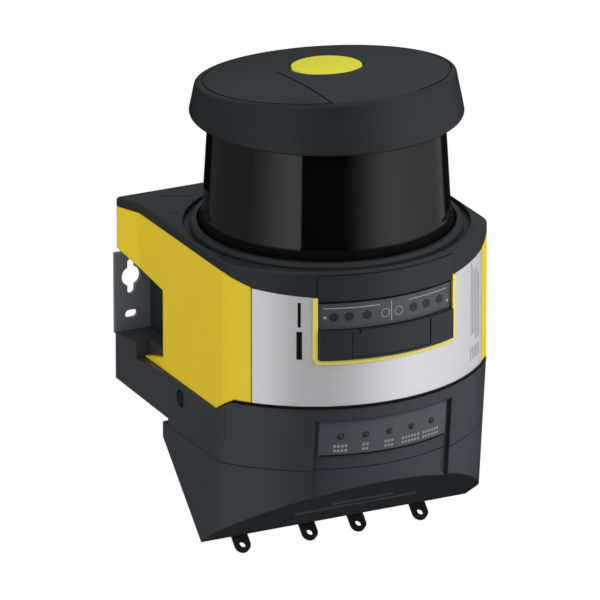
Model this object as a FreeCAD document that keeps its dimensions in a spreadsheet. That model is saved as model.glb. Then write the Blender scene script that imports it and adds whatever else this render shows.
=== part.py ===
import FreeCAD, Part
import math
import os
import types

import Sketcher

# Safety laser scanner with its connection unit.
# Heights count from the seam between scanner and connection unit, and depths from the scan axis,
# with the front at negative depth. Each finished piece is then moved to the wall frame: the rear
# mounting plane at Y = 0 and the lower screw slots at Z = 0.

doc = FreeCAD.newDocument("SafetyLaserScanner")
sheet = doc.addObject("Spreadsheet::Sheet", "Sizes")

# Driving dimensions in millimetres and degrees
SIZES = (
    ("wall_to_axis", 72.5, "rear mounting plane to the scan axis"),
    ("fit_gap", 0.3, "gap between pieces that are set into each other"),
    ("running_gap", 0.06, "radial gap of turning fits"),
    ("side_half_width", 68.2, "half width over the yellow sides"),
    ("wing_half_width", 73.6, "half width at the rear wings"),
    ("wing_start", 59.0, "depth where the sides begin to flare into the wings"),
    ("front_radius", 81.3, "radius of the curved front"),
    ("front_centre", 13.3, "depth of the centre of the curved front"),
    ("corner_round", 11.0, "rounding between the sides and the curved front"),
    ("skin", 2.8, "thickness of the outer covers"),
    ("core_wall", 2.6, "wall of the inner housing"),
    ("core_rear_half_width", 57.8, "half width of the inner housing beside the screw tabs"),
    ("recess_front", 34.0, "depth where the side recess for the wall screws begins"),
    ("deck_top", 66.3, "height of the deck"),
    ("deck_side_edge", 61.9, "lower edge of the deck cover along the sides"),
    ("deck_front_edge", 53.8, "lower edge of the deck cover along the front"),
    ("brow_rear", 30.5, "depth in front of the axis where that edge begins to fall"),
    ("brow_bend", 42.5, "depth where its fall grows gentle"),
    ("brow_bend_rise", 2.9, "height of that bend above the front edge"),
    ("brow_end", 60.0, "depth where the fall ends"),
    ("deck_round", 1.6, "rounding of the deck's upper edge"),
    ("side_drop", 7.8, "how far the yellow sides reach below the seam"),
    ("foot_rear", 22.2, "depth in front of the axis where the foot of the sides begins to rise"),
    ("foot_front", 35.0, "depth where that foot meets the seam"),
    ("ledge_reach", 19.0, "how far the pointed ledge of the sides reaches behind the recess"),
    ("ledge_thickness", 0.6, "thickness of that ledge at its tip"),
    ("ledge_root", 5.8, "thickness of that ledge at its root"),
    ("recess_top", 31.6, "height of the side recess at its front"),
    ("wing_clearance", 2.2, "gap between the wall bracket and the wing above it"),
    ("wing_fall", 6.6, "how much lower the wing's edge lies where the wing begins"),
    ("corner_reach", 8.8, "how far each yellow side reaches in from its flank to the silver band"),
    ("window_base_radius", 57.8, "window radius above its foot"),
    ("window_top_radius", 54.9, "window radius at its upper edge"),
    ("window_foot_radius", 59.2, "window radius at its foot"),
    ("window_foot_height", 2.9, "height of the straight window foot"),
    ("window_flare_height", 4.2, "height of the flare above the foot"),
    ("window_wall", 2.8, "wall of the window"),
    ("lip_width", 2.2, "width of the lip round the window"),
    ("lip_height", 1.7, "height of the lip above the deck"),
    ("moat_width", 4.0, "width of the groove round the lip"),
    ("moat_depth", 2.2, "depth of the groove round the lip"),
    ("crease_width", 0.6, "width of the crease lines on the deck"),
    ("crease_depth", 0.4, "depth of the crease lines on the deck"),
    ("cap_bottom", 120.4, "height of the cap's lower edge"),
    ("cap_radius", 64.0, "cap radius at its lower edge"),
    ("cap_skirt_slope", 0.2, "inward slope of the cap's skirt"),
    ("cap_wall", 3.0, "wall of the cap"),
    ("cap_rim_round", 2.4, "rounding of the cap's rim"),
    ("crown_radius", 366.0, "radius of the cap's crown"),
    ("crown_offset", 42.0, "how far the crown's high point lies in front of the axis"),
    ("crown_top", 145.2, "height of the crown's high point"),
    ("swirl_radius", 57.2, "radius of the groove inside the rim"),
    ("swirl_width", 0.9, "width of the grooves of the cap"),
    ("swirl_depth", 0.7, "depth of the grooves of the cap"),
    ("swirl_line_offset", 24.0, "distance of the straight groove from the middle plane"),
    ("badge_radius", 16.5, "radius of the yellow disc"),
    ("badge_gap", 0.8, "gap round the yellow disc"),
    ("badge_proud", 1.8, "how far the yellow disc stands above the crown"),
    ("badge_seat", 1.6, "depth of the seat of the yellow disc"),
    ("port_half_width", 37.0, "half width of the opening in the silver band"),
    ("port_bottom", 20.8, "height of the opening's lower edge"),
    ("port_round", 3.0, "rounding of the opening's lower corners"),
    ("bead_width", 2.1, "width of the yellow bead round the opening"),
    ("bead_proud", 0.5, "how far the bead stands out of the band"),
    ("strip_set_back", 0.9, "how far the indicator strip is set back from the band"),
    ("hood_proud", 0.3, "how far the trim above the indicators stands out of the deck cover"),
    ("hood_depth", 1.4, "depth of the seat of that trim"),
    ("hood_bottom", 51.8, "lower edge of that trim"),
    ("hood_top", 64.4, "upper edge of that trim"),
    ("cover_top", 37.5, "upper edge of the service cover"),
    ("cover_proud", 1.7, "how far the service cover stands out of the band"),
    ("flap_half_width", 20.0, "half width of the service flap"),
    ("flap_thickness", 2.2, "thickness of the service flap"),
    ("flap_gap", 0.35, "gap round the service flap"),
    ("flap_back_gap", 1.2, "gap behind the service flap"),
    ("flap_sill", 1.0, "height of the sill under the flap and of the ear above its hinge"),
    ("flap_pin_grip", 0.5, "height of the solid foot under the flap's hinge pin"),
    ("flap_axis_across", 18.4, "distance of the flap's upright hinge axis from the middle plane"),
    ("flap_pin_radius", 0.5, "radius of the flap's hinge pin"),
    ("unit_step", 1.0, "how far the connection unit stands out of the yellow sides"),
    ("unit_taper_start", 27.0, "depth where the connection unit begins to widen to the rear"),
    ("unit_rear_height", 22.9, "height of the connection unit at its rear"),
    ("unit_split", 32.7, "depth of the parting line below the seam"),
    ("unit_split_gap", 0.3, "gap of that parting line"),
    ("unit_wall", 3.0, "wall of the connection unit"),
    ("unit_lean", 0.1, "how much the unit's front leans back for each millimetre down"),
    ("underside_wall", 4.5, "wall of the connection unit's underside, measured upright"),
    ("ridge_depth", 8.0, "how far the lowest ridge lies in front of the axis"),
    ("ridge_drop", 79.5, "how far the lowest ridge lies below the seam"),
    ("chamfer_rise", 0.696, "rise of the front underside for each millimetre forward"),
    ("slope_rear_depth", 32.6, "depth of the upper end of the rear underside"),
    ("slope_rear_drop", 40.7, "drop of the upper end of the rear underside"),
    ("panel_half_width", 35.4, "half width of the recess for the status panel"),
    ("panel_top_drop", 7.6, "drop of the recess's upper edge"),
    ("panel_set_back", 2.0, "depth of the recess for the status panel"),
    ("label_half_width", 33.0, "half width of the status panel"),
    ("label_height", 18.6, "height of the status panel"),
    ("label_thickness", 0.6, "thickness of the status panel"),
    ("light_pitch", 11.7, "distance from status light to status light"),
    ("light_drop", 16.0, "drop of the status lights below the seam"),
    ("light_radius", 1.5, "radius of a status light"),
    ("light_seat", 1.2, "how deep a status light reaches behind the panel's face"),
    ("light_proud", 0.4, "how far a status light stands out of the panel"),
    ("pad_half_width", 32.0, "half width of the raised field on the front underside"),
    ("pad_proud", 0.9, "how far that field stands out"),
    ("lock_depth", 13.8, "depth of the locking screws behind the axis"),
    ("lock_drop", 15.4, "drop of the locking screws below the seam"),
    ("lock_head_radius", 3.8, "head radius of a locking screw"),
    ("lock_recess_radius", 4.4, "radius of the recess round a locking screw"),
    ("lock_recess_depth", 3.2, "depth of that recess"),
    ("lock_boss_depth", 11.0, "depth of the boss round a locking screw"),
    ("lock_head_height", 2.3, "head height of a locking screw"),
    ("lock_shank_radius", 2.0, "shank radius of a locking screw"),
    ("socket_one", -48.0, "place of the first connector across the unit"),
    ("socket_two", -13.0, "place of the second connector"),
    ("socket_three", 12.4, "place of the third connector"),
    ("socket_four", 45.0, "place of the fourth connector"),
    ("socket_up_slope", 21.0, "distance of the connectors up the slope from the ridge"),
    ("socket_radius", 6.0, "thread radius of a connector"),
    ("socket_flange_radius", 8.2, "flange radius of a connector"),
    ("socket_length", 8.0, "length of a connector outside the unit"),
    ("dust_cap_radius", 7.6, "radius of a dust cap"),
    ("dust_cap_length", 8.6, "length of a dust cap"),
    ("loop_radius", 3.8, "outer radius of a dust cap's pull loop"),
    ("loop_hole_radius", 1.7, "radius of the hole in a pull loop"),
    ("loop_thickness", 2.2, "thickness of a pull loop"),
    ("loop_overhang", 3.7, "how far a pull loop's centre hangs past the lowest ridge"),
    ("plate_thickness", 2.0, "thickness of the wall bracket"),
    ("plate_half_width", 75.4, "half width of the wall bracket over its tabs"),
    ("plate_top", 39.0, "upper edge of the wall bracket's tabs"),
    ("plate_bottom", 1.3, "lower edge of the wall bracket's tabs"),
    ("keyhole_pitch", 134.0, "distance between the keyholes"),
    ("keyhole_level", 26.4, "height of the keyholes"),
    ("keyhole_radius", 4.9, "radius of a keyhole's round part"),
    ("screw_slot_radius", 2.0, "half width of the slots for the wall screws"),
    ("keyhole_reach", 6.8, "how far a keyhole's slot reaches up and down"),
    ("lower_slot_level", 7.6, "height of the lower slots"),
    ("lower_slot_reach", 1.2, "half the straight length of a lower slot"),
    ("rotor_axis_height", 95.0, "height of the scan plane"),
    ("rotor_radius", 19.0, "radius of the mirror carrier"),
    ("rotor_bottom", 78.0, "lower end of the mirror carrier"),
    ("rotor_top", 107.0, "upper end of the mirror carrier"),
    ("mirror_thickness", 2.0, "thickness of the mirror"),
    ("shaft_radius", 2.5, "radius of the rotor shaft"),
    ("bearing_radius", 6.5, "outer radius of the bearings"),
    ("bearing_width", 4.0, "width of the bearings"),
    ("motor_radius", 21.0, "radius of the motor"),
    ("motor_height", 8.5, "height of the motor"),
    ("motor_plate_thickness", 2.6, "thickness of the motor plate"),
    ("encoder_radius", 17.0, "radius of the encoder disc"),
    ("lens_radius", 23.0, "radius of the receiver lens"),
    ("lens_bottom", 62.0, "height of the lens's flat face"),
    ("lens_bulge_radius", 42.0, "radius of the lens's curved face"),
    ("lens_rim", 1.6, "height of the lens's rim"),
    ("laser_radius", 3.6, "radius of the laser tube"),
    ("tube_bottom", 34.0, "lower end of the lens tube"),
    ("tube_wall", 2.4, "wall of the lens tube"),
    ("board_thickness", 1.6, "thickness of the circuit boards"),
    ("board_margin", 3.2, "space between the main board and the walls round it"),
    ("post_height", 7.0, "height of the posts under the main board"),
    ("post_radius", 3.0, "radius of the posts of the boards"),
    ("post_inset", 6.0, "distance of the posts from the edges of the boards"),
    ("receiver_margin", 2.6, "how far the receiver board reaches past the lens tube"),
    ("plug_half_width", 24.0, "half width of the plug between scanner and connection unit"),
    ("plug_half_depth", 6.0, "half depth of that plug"),
    ("plug_middle", 30.0, "depth of the plug's middle behind the axis"),
    ("plug_drop", 9.0, "how far the plug reaches below the seam"),
    ("plug_clearance", 0.8, "gap round the plug"),
    ("gasket_width", 3.0, "width of the seal round the plug"),
    ("terminal_half_width", 50.0, "half width of the terminal board"),
    ("terminal_front", 30.0, "front edge of the terminal board ahead of the axis"),
    ("terminal_rear", 40.0, "rear edge of the terminal board"),
    ("socket_half_width", 8.0, "half width of the service socket's opening"),
    ("socket_half_height", 4.5, "half height of the service socket's opening"),
)


class Dim:
    """A size with the formula that binds it to the sheet."""

    def __init__(self, value, formula):
        self.value = value
        self.formula = formula

    def __add__(self, other):
        other = dim(other)
        return Dim(self.value + other.value, f"({self.formula} + {other.formula})")

    def __sub__(self, other):
        other = dim(other)
        return Dim(self.value - other.value, f"({self.formula} - {other.formula})")

    def __mul__(self, other):
        other = dim(other)
        return Dim(self.value * other.value, f"({self.formula} * {other.formula})")

    def __truediv__(self, other):
        other = dim(other)
        return Dim(self.value / other.value, f"({self.formula} / {other.formula})")

    def __neg__(self):
        return Dim(-self.value, f"(-1 * {self.formula})")

    def __radd__(self, other):
        return dim(other) + self

    def __rsub__(self, other):
        return dim(other) - self

    def __rmul__(self, other):
        return dim(other) * self


def dim(number):
    if isinstance(number, Dim):
        return number
    return Dim(float(number), f"({float(number)!r})")


def root(square):
    return Dim(math.sqrt(square.value), f"sqrt({square.formula})")


def arc_sine(ratio):
    return Dim(math.degrees(math.asin(ratio.value)), f"(asin({ratio.formula}) / 1 deg)")


def arc_tangent(ratio):
    return Dim(math.degrees(math.atan(ratio.value)), f"(atan({ratio.formula}) / 1 deg)")


size = types.SimpleNamespace()
for row, (alias, value, meaning) in enumerate(SIZES, start=1):
    sheet.set(f"A{row}", meaning)
    sheet.set(f"B{row}", str(value))
    sheet.setAlias(f"B{row}", alias)
    setattr(size, alias, Dim(value, f"Sizes.{alias}"))
doc.recompute()

finished = []


def bind(thing, prop, amount):
    """Set a property and bind it to its formula."""
    amount = dim(amount)
    thing.setExpression(prop, amount.formula)
    return thing


def finish(thing, label):
    """Name a piece and move it from the scan axis and seam to the wall frame."""
    thing.Label = label
    bind(thing, "Placement.Base.y", -size.wall_to_axis)
    bind(thing, "Placement.Base.z", -size.lower_slot_level)
    finished.append(thing)
    return thing


# Sketches and features

def add_loop(sketch, points, arcs):
    """Add a closed loop; arcs maps the number of a side to its radius, below 0 where it turns right."""
    count = len(points)
    first = sketch.GeometryCount
    starts = []
    ends = []
    for number, (start, end) in enumerate(zip(points, points[1:] + points[:1])):
        a = FreeCAD.Vector(dim(start[0]).value, dim(start[1]).value, 0)
        b = FreeCAD.Vector(dim(end[0]).value, dim(end[1]).value, 0)
        if number not in arcs:
            sketch.addGeometry(Part.LineSegment(a, b), False)
            starts.append(1)
            ends.append(2)
            continue
        radius = abs(dim(arcs[number]).value)
        turns_left = dim(arcs[number]).value > 0
        half_chord = (b - a) * 0.5
        normal = FreeCAD.Vector(-half_chord.y, half_chord.x, 0).normalize()
        reach = math.sqrt(max(radius ** 2 - half_chord.Length ** 2, 0.0))
        centre = a + half_chord + normal * (reach if turns_left else -reach)
        angle_a = math.atan2(a.y - centre.y, a.x - centre.x)
        angle_b = math.atan2(b.y - centre.y, b.x - centre.x)
        circle_line = Part.Circle(centre, FreeCAD.Vector(0, 0, 1), radius)
        if turns_left:
            sketch.addGeometry(Part.ArcOfCircle(circle_line, angle_a, angle_b), False)
        else:
            sketch.addGeometry(Part.ArcOfCircle(circle_line, angle_b, angle_a), False)
        starts.append(1 if turns_left else 2)
        ends.append(2 if turns_left else 1)
    for number in range(count):
        following = (number + 1) % count
        sketch.addConstraint(Sketcher.Constraint(
            "Coincident", first + number, ends[number], first + following, starts[following]))
    for number, point in enumerate(points):
        for kind, coordinate in zip(("DistanceX", "DistanceY"), point):
            coordinate = dim(coordinate)
            index = sketch.addConstraint(Sketcher.Constraint(
                kind, -1, 1, first + number, starts[number], coordinate.value))
            sketch.setExpression(f"Constraints[{index}]", coordinate.formula)
    for number, radius in arcs.items():
        radius = dim(radius)
        radius = radius if radius.value > 0 else -radius
        start, end = points[number], points[(number + 1) % count]
        across = dim(end[0]).value - dim(start[0]).value
        along = dim(end[1]).value - dim(start[1]).value
        if math.hypot(across, along) < 2 * radius.value - 1e-6:
            index = sketch.addConstraint(Sketcher.Constraint("Radius", first + number, radius.value))
            sketch.setExpression(f"Constraints[{index}]", radius.formula)
            continue
        # A half circle is held by its centre, which lies on the line between its ends
        kind, coordinate = ("DistanceY", start[1]) if abs(along) < 1e-6 else ("DistanceX", start[0])
        index = sketch.addConstraint(Sketcher.Constraint(
            kind, -1, 1, first + number, 3, dim(coordinate).value))
        sketch.setExpression(f"Constraints[{index}]", dim(coordinate).formula)


def add_circle(sketch, x, y, radius):
    x, y, radius = dim(x), dim(y), dim(radius)
    line = Part.Circle(FreeCAD.Vector(x.value, y.value, 0), FreeCAD.Vector(0, 0, 1), radius.value)
    circle = sketch.addGeometry(line, False)
    for kind, coordinate in (("DistanceX", x), ("DistanceY", y)):
        index = sketch.addConstraint(Sketcher.Constraint(kind, -1, 1, circle, 3, coordinate.value))
        sketch.setExpression(f"Constraints[{index}]", coordinate.formula)
    index = sketch.addConstraint(Sketcher.Constraint("Radius", circle, radius.value))
    sketch.setExpression(f"Constraints[{index}]", radius.formula)


def new_body(name):
    return doc.addObject("PartDesign::Body", name)


def draw(body, plane, level, loops=(), circles=()):
    """A sketch on one of the body's planes, moved along its normal by level."""
    sketch = body.newObject("Sketcher::SketchObject", body.Name + "Sketch")
    support = next(feature for feature in body.Origin.OriginFeatures if feature.Role == plane)
    sketch.AttachmentSupport = (support, [""])
    sketch.MapMode = "FlatFace"
    bind(sketch, ".AttachmentOffset.Base.z", level)
    for points, arcs in loops:
        add_loop(sketch, points, arcs)
    for x, y, radius in circles:
        add_circle(sketch, x, y, radius)
    return sketch


def extrude(body, kind, sketch, length, side="One side", reverse=False):
    feature = body.newObject("PartDesign::" + kind, body.Name + kind)
    feature.Profile = (sketch, [""])
    feature.SideType = side
    feature.Reversed = reverse
    bind(feature, "Length", length)
    body.Tip = feature
    return feature


def pad(body, plane, level, length, loops=(), circles=(), side="One side", reverse=False):
    return extrude(body, "Pad", draw(body, plane, level, loops, circles), length, side, reverse)


def pocket(body, plane, level, length, loops=(), circles=(), side="One side", reverse=False):
    return extrude(body, "Pocket", draw(body, plane, level, loops, circles), length, side, reverse)


def spin(body, kind, points, arcs=None):
    """Turn a profile of radius and height about the scan axis; kind is Revolution or Groove."""
    sketch = draw(body, "XZ_Plane", 0, [(points, arcs or {})])
    feature = body.newObject("PartDesign::" + kind, body.Name + kind)
    feature.Profile = (sketch, [""])
    feature.ReferenceAxis = (sketch, ["V_Axis"])
    feature.Angle = 360
    body.Tip = feature
    return feature


def round_edges(body, radius, wanted, kind="Fillet"):
    """Round or chamfer the edges of the body's last feature that the test picks."""
    doc.recompute()
    base = body.Tip
    names = [f"Edge{number}" for number, edge in enumerate(base.Shape.Edges, start=1) if wanted(edge)]
    feature = body.newObject("PartDesign::" + kind, body.Name + kind)
    feature.Base = (base, names)
    bind(feature, "Radius" if kind == "Fillet" else "Size", radius)
    body.Tip = feature
    return feature


def upright_at(x, y):
    """Picks upright edges that stand at a place in plan, on either side."""
    def wanted(edge):
        box = edge.BoundBox
        upright = box.XLength < 2 and box.YLength < box.ZLength and box.ZLength > 4
        return upright and abs(abs(box.Center.x) - x) < 1.5 and abs(box.Center.y - y) < 4.5
    return wanted


# Part primitives and booleans

def primitive(kind, name, at, rotation=None, **lengths):
    thing = doc.addObject("Part::" + kind, name)
    for prop, amount in lengths.items():
        bind(thing, prop, amount)
    if rotation is not None:
        thing.Placement = FreeCAD.Placement(FreeCAD.Vector(), rotation)
    for axis, amount in zip("xyz", at):
        bind(thing, "Placement.Base." + axis, amount)
    return thing


def block(name, low, high):
    """A box between two corners."""
    lengths = [dim(b) - dim(a) for a, b in zip(low, high)]
    return primitive("Box", name, low, Length=lengths[0], Width=lengths[1], Height=lengths[2])


def rod(name, x, y, bottom, top, radius):
    return primitive("Cylinder", name, (x, y, bottom), Radius=radius, Height=dim(top) - dim(bottom))


def boolean(kind, name, base, tool):
    thing = doc.addObject("Part::" + kind, name)
    thing.Base = base
    thing.Tool = tool
    return thing


def cut(name, base, *tools):
    for number, tool in enumerate(tools):
        base = boolean("Cut", f"{name}{number or ''}", base, tool)
    return base


def common(name, base, *tools):
    for number, tool in enumerate(tools):
        base = boolean("Common", f"{name}{number or ''}", base, tool)
    return base


def fuse(name, *parts):
    thing = doc.addObject("Part::MultiFuse", name)
    thing.Shapes = list(parts)
    thing.Refine = True
    return thing


def ring(name, bottom, top, inner_radius, outer_radius, x=0, y=0):
    outer = rod(name + "Outer", x, y, bottom, top, outer_radius)
    inner = rod(name + "Inner", x, y, dim(bottom) - 1, dim(top) + 1, inner_radius)
    return cut(name, outer, inner)


# Plan outlines shared by the pieces of the housing

def arc_depth(radius, x, centre=size.front_centre):
    """Depth of the curved front at a distance x from the middle plane."""
    return centre - root(radius * radius - dim(x) * dim(x))


def plan_outline(half_width, wing_half_width, wing_start, rear, radius, centre=size.front_centre):
    """Flared rear, straight sides and curved front, seen from above."""
    corner = arc_depth(radius, half_width, centre)
    points = [
        (-wing_half_width, rear),
        (-half_width, wing_start),
        (-half_width, corner),
        (half_width, corner),
        (half_width, wing_start),
        (wing_half_width, rear),
    ]
    return points, {2: radius}


def front_strip(outer_radius, inner_radius, left, right, centre=size.front_centre):
    """A curved strip of the front between two distances from the middle plane."""
    points = [
        (left, arc_depth(outer_radius, left, centre)),
        (right, arc_depth(outer_radius, right, centre)),
        (right, arc_depth(inner_radius, right, centre)),
        (left, arc_depth(inner_radius, left, centre)),
    ]
    return points, {0: outer_radius, 2: -inner_radius}


def rectangle(left, bottom, right, top):
    return [(left, bottom), (right, bottom), (right, top), (left, top)], {}


def deck_edge(drop):
    """The line where the deck cover ends, seen from the side, lowered by drop."""
    return [
        (-size.brow_rear, size.deck_side_edge - drop),
        (-size.brow_bend, size.deck_front_edge + size.brow_bend_rise - drop),
        (-size.brow_end, size.deck_front_edge - drop),
    ]


housing_corner = arc_depth(size.front_radius, size.side_half_width)
far = 4 * size.side_half_width
deck_rear = size.wall_to_axis - size.fit_gap
unit_half = size.side_half_width + size.unit_step
band_half = size.side_half_width - size.corner_reach


# Inner housing: a cast tub with a floor, a top wall and a narrow rear between the screw tabs

core_half = size.side_half_width - size.skin - size.fit_gap
core_radius = size.front_radius - size.skin - size.fit_gap
core_rear = deck_rear - size.skin - size.fit_gap
core_top = size.deck_top - size.skin - size.fit_gap
core_front_wall = 2 * size.core_wall
core = new_body("InnerHousing")


def core_outline(inset, front_inset):
    half = core_half - inset
    rear_half = size.core_rear_half_width - inset
    radius = core_radius - front_inset
    corner = arc_depth(radius, half)
    points = [
        (-rear_half, core_rear - inset),
        (-rear_half, size.recess_front - inset),
        (-half, size.recess_front - inset),
        (-half, corner),
        (half, corner),
        (half, size.recess_front - inset),
        (rear_half, size.recess_front - inset),
        (rear_half, core_rear - inset),
    ]
    return points, {3: radius}


pad(core, "XY_Plane", size.fit_gap, core_top - size.fit_gap, [core_outline(dim(0), dim(0))])
round_edges(core, size.corner_round - size.skin,
            upright_at(core_half.value, arc_depth(core_radius, core_half).value))
core_ceiling = core_top - size.core_wall
pocket(core, "XY_Plane", core_ceiling, core_ceiling - size.fit_gap - size.core_wall,
       [core_outline(size.core_wall, core_front_wall)])
# Opening for the lens tube, with a ledge that its flange rests on
flange_radius = size.lens_radius + size.tube_wall + 6
pocket(core, "XY_Plane", core_top, 2 * size.core_wall, circles=[(0, 0, flange_radius + size.fit_gap)])
# Seat in the front wall for the indicators and the service cover
pocket(core, "XY_Plane", core_top, core_top - size.port_bottom,
       [front_strip(core_radius + 4, core_radius - size.core_wall,
                    -size.port_half_width - size.fit_gap, size.port_half_width + size.fit_gap)])
# Hole in the front wall for the service socket
bead_bottom = size.port_bottom + size.fit_gap / 3
cover_bottom = bead_bottom + size.bead_width + size.fit_gap
socket_half = size.socket_half_width
socket_middle = (cover_bottom + size.cover_top) / 2
socket_low = socket_middle - size.socket_half_height
socket_high = socket_middle + size.socket_half_height
pocket(core, "XZ_Plane", 0, far, [rectangle(-socket_half, socket_low, socket_half, socket_high)],
       reverse=True)


def round_plug(margin):
    """The plug's outline in plan with a margin all round."""
    half = size.plug_half_width + margin
    return rectangle(-half, size.plug_middle - size.plug_half_depth - margin,
                     half, size.plug_middle + size.plug_half_depth + margin)


# Opening in the floor for the plug to the connection unit
pocket(core, "XY_Plane", size.fit_gap + 2 * size.core_wall, 3 * size.core_wall,
       [round_plug(size.plug_clearance)])
finish(core, "inner_housing")


# Side covers: yellow moulded shells that hook over the inner housing

def side_cover(side):
    """side is -1 for the left cover and 1 for the right one."""
    body = new_body("SideCoverLeft" if side < 0 else "SideCoverRight")
    thick = size.skin
    inner_radius = size.front_radius - thick
    inner_half = size.side_half_width - thick
    front = band_half + size.fit_gap
    points = [
        (side * size.wing_half_width, deck_rear),
        (side * size.side_half_width, size.wing_start),
        (side * size.side_half_width, housing_corner),
        (side * front, arc_depth(size.front_radius, front)),
        (side * front, arc_depth(inner_radius, front)),
        (side * inner_half, arc_depth(inner_radius, inner_half)),
        (side * inner_half, size.wing_start),
        (side * (size.wing_half_width - thick), deck_rear),
    ]
    top = size.deck_side_edge - size.fit_gap
    turn = 1 if side < 0 else -1
    pad(body, "XY_Plane", -size.side_drop, top + size.side_drop,
        [(points, {2: turn * size.front_radius, 4: -turn * inner_radius})])
    round_edges(body, size.corner_round, upright_at(size.side_half_width.value, housing_corner.value))
    round_edges(body, size.corner_round - thick,
                upright_at(inner_half.value, arc_depth(inner_radius, inner_half).value))
    # Seen from the side: the recess at the rear, the pointed ledge and the step up to the band
    behind = size.wall_to_axis + 10
    wing_bottom = size.plate_top + size.wing_clearance
    ledge_tip = size.recess_front + size.ledge_reach
    recess = [
        (behind, wing_bottom),
        (size.wall_to_axis, wing_bottom),
        (size.wing_start, wing_bottom - size.wing_fall),
        (size.recess_front, size.recess_top),
        (size.recess_front, -size.side_drop + size.ledge_root),
        (ledge_tip, -size.side_drop + size.ledge_thickness),
        (ledge_tip, -size.side_drop - 1),
        (behind, -size.side_drop - 1),
    ]
    pocket(body, "YZ_Plane", 0, far, [(recess, {})], side="Symmetric")
    ahead = -size.front_radius
    foot = [
        (-size.foot_rear, -size.side_drop - 1),
        (-size.foot_rear, -size.side_drop),
        (-size.foot_front, size.fit_gap),
        (ahead, size.fit_gap),
        (ahead, -size.side_drop - 1),
    ]
    pocket(body, "YZ_Plane", 0, far, [(foot, {})], side="Symmetric")
    brow = [(-size.brow_rear, top + 1)] + deck_edge(size.fit_gap) + [
        (ahead, size.deck_front_edge - size.fit_gap),
        (ahead, top + 1),
    ]
    pocket(body, "YZ_Plane", 0, far, [(brow, {})], side="Symmetric")
    return finish(body, "side_cover_left" if side < 0 else "side_cover_right")


for side in (-1, 1):
    side_cover(side)


# Front band: brushed metal, bent to the curve of the front, with an opening for the indicators

band = new_body("FrontBand")
band_top = size.deck_front_edge + size.brow_bend_rise
pad(band, "XY_Plane", size.fit_gap, band_top - size.fit_gap,
    [front_strip(size.front_radius, size.front_radius - size.skin + size.fit_gap,
                 -band_half, band_half)])
edge = deck_edge(size.fit_gap)[1:] + [
    (-size.front_radius, size.deck_front_edge - size.fit_gap),
    (-size.front_radius, band_top + 2),
    (-size.brow_rear, band_top + 2),
    (-size.brow_rear, band_top - size.fit_gap),
]
pocket(band, "YZ_Plane", 0, far, [(edge, {})], side="Symmetric")
port = [
    (-size.port_half_width, band_top + 1),
    (-size.port_half_width, size.port_bottom + size.port_round),
    (-size.port_half_width + size.port_round, size.port_bottom),
    (size.port_half_width - size.port_round, size.port_bottom),
    (size.port_half_width, size.port_bottom + size.port_round),
    (size.port_half_width, band_top + 1),
]
pocket(band, "XZ_Plane", 0, far, [(port, {1: size.port_round, 3: size.port_round})], reverse=True)
finish(band, "front_band")


# Yellow bead that frames the opening on its sides and below

bead = new_body("PortBead")
bead_outer = size.port_half_width - size.fit_gap / 3
bead_inner = bead_outer - size.bead_width
bead_top = size.deck_front_edge - size.fit_gap
frame = [
    (-bead_outer, bead_top),
    (-bead_outer, bead_bottom + size.port_round),
    (-bead_outer + size.port_round, bead_bottom),
    (bead_outer - size.port_round, bead_bottom),
    (bead_outer, bead_bottom + size.port_round),
    (bead_outer, bead_top),
    (bead_inner, bead_top),
    (bead_inner, bead_bottom + size.port_round),
    (bead_inner - size.port_round + size.bead_width, bead_bottom + size.bead_width),
    (-bead_inner + size.port_round - size.bead_width, bead_bottom + size.bead_width),
    (-bead_inner, bead_bottom + size.port_round),
    (-bead_inner, bead_top),
]
inner_round = size.port_round - size.bead_width
pad(bead, "XZ_Plane", 0, size.front_radius,
    [(frame, {1: size.port_round, 3: size.port_round, 7: -inner_round, 9: -inner_round})])
bead_radius = size.front_radius + size.bead_proud
pocket(bead, "XY_Plane", -10, far,
       [front_strip(3 * size.front_radius, bead_radius, -bead_outer - 5, bead_outer + 5)],
       reverse=True)
bead_back = core_radius - size.core_wall + size.fit_gap
back_half = bead_outer + 5
behind_bead = [
    (-back_half, arc_depth(bead_back, back_half)),
    (back_half, arc_depth(bead_back, back_half)),
    (back_half, 10.0),
    (-back_half, 10.0),
]
pocket(bead, "XY_Plane", -10, far, [(behind_bead, {0: bead_back})], reverse=True)
finish(bead, "port_bead")


# Indicator strip: a smoked lens behind which the display lights sit

strip = new_body("IndicatorStrip")
strip_radius = size.front_radius - size.strip_set_back
inside_half = bead_inner - size.fit_gap
strip_bottom = size.cover_top + size.fit_gap
pad(strip, "XY_Plane", strip_bottom, size.hood_bottom - size.fit_gap - strip_bottom,
    [front_strip(strip_radius, bead_back, -inside_half, inside_half)])
finish(strip, "indicator_strip")


# Service cover: two fixed cheeks joined by a back wall with the hole for the service socket

cover = new_body("ServiceCover")
cover_radius = size.front_radius + size.cover_proud
flap_inner = cover_radius - size.flap_thickness
pad(cover, "XY_Plane", cover_bottom, size.cover_top - cover_bottom,
    [front_strip(cover_radius, bead_back, -inside_half, inside_half)])
flap_bay = size.flap_half_width + size.flap_gap
flap_middle = cover_radius - size.flap_thickness / 2
flap_axis = (-size.flap_axis_across, arc_depth(flap_middle, size.flap_axis_across))
sill_top = cover_bottom + size.flap_sill
ear_bottom = size.cover_top - size.flap_sill
ear_end = size.flap_axis_across - 1.3
pocket(cover, "XY_Plane", sill_top, far,
       [front_strip(cover_radius + 5, flap_inner - size.flap_back_gap, -flap_bay, flap_bay)], reverse=True)
pad(cover, "XY_Plane", ear_bottom, size.flap_sill,
    [front_strip(cover_radius, flap_inner - size.flap_back_gap - 1, -flap_bay - 1, -ear_end)])
pocket(cover, "XZ_Plane", 0, far, [rectangle(-socket_half, socket_low, socket_half, socket_high)],
       reverse=True)
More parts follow.
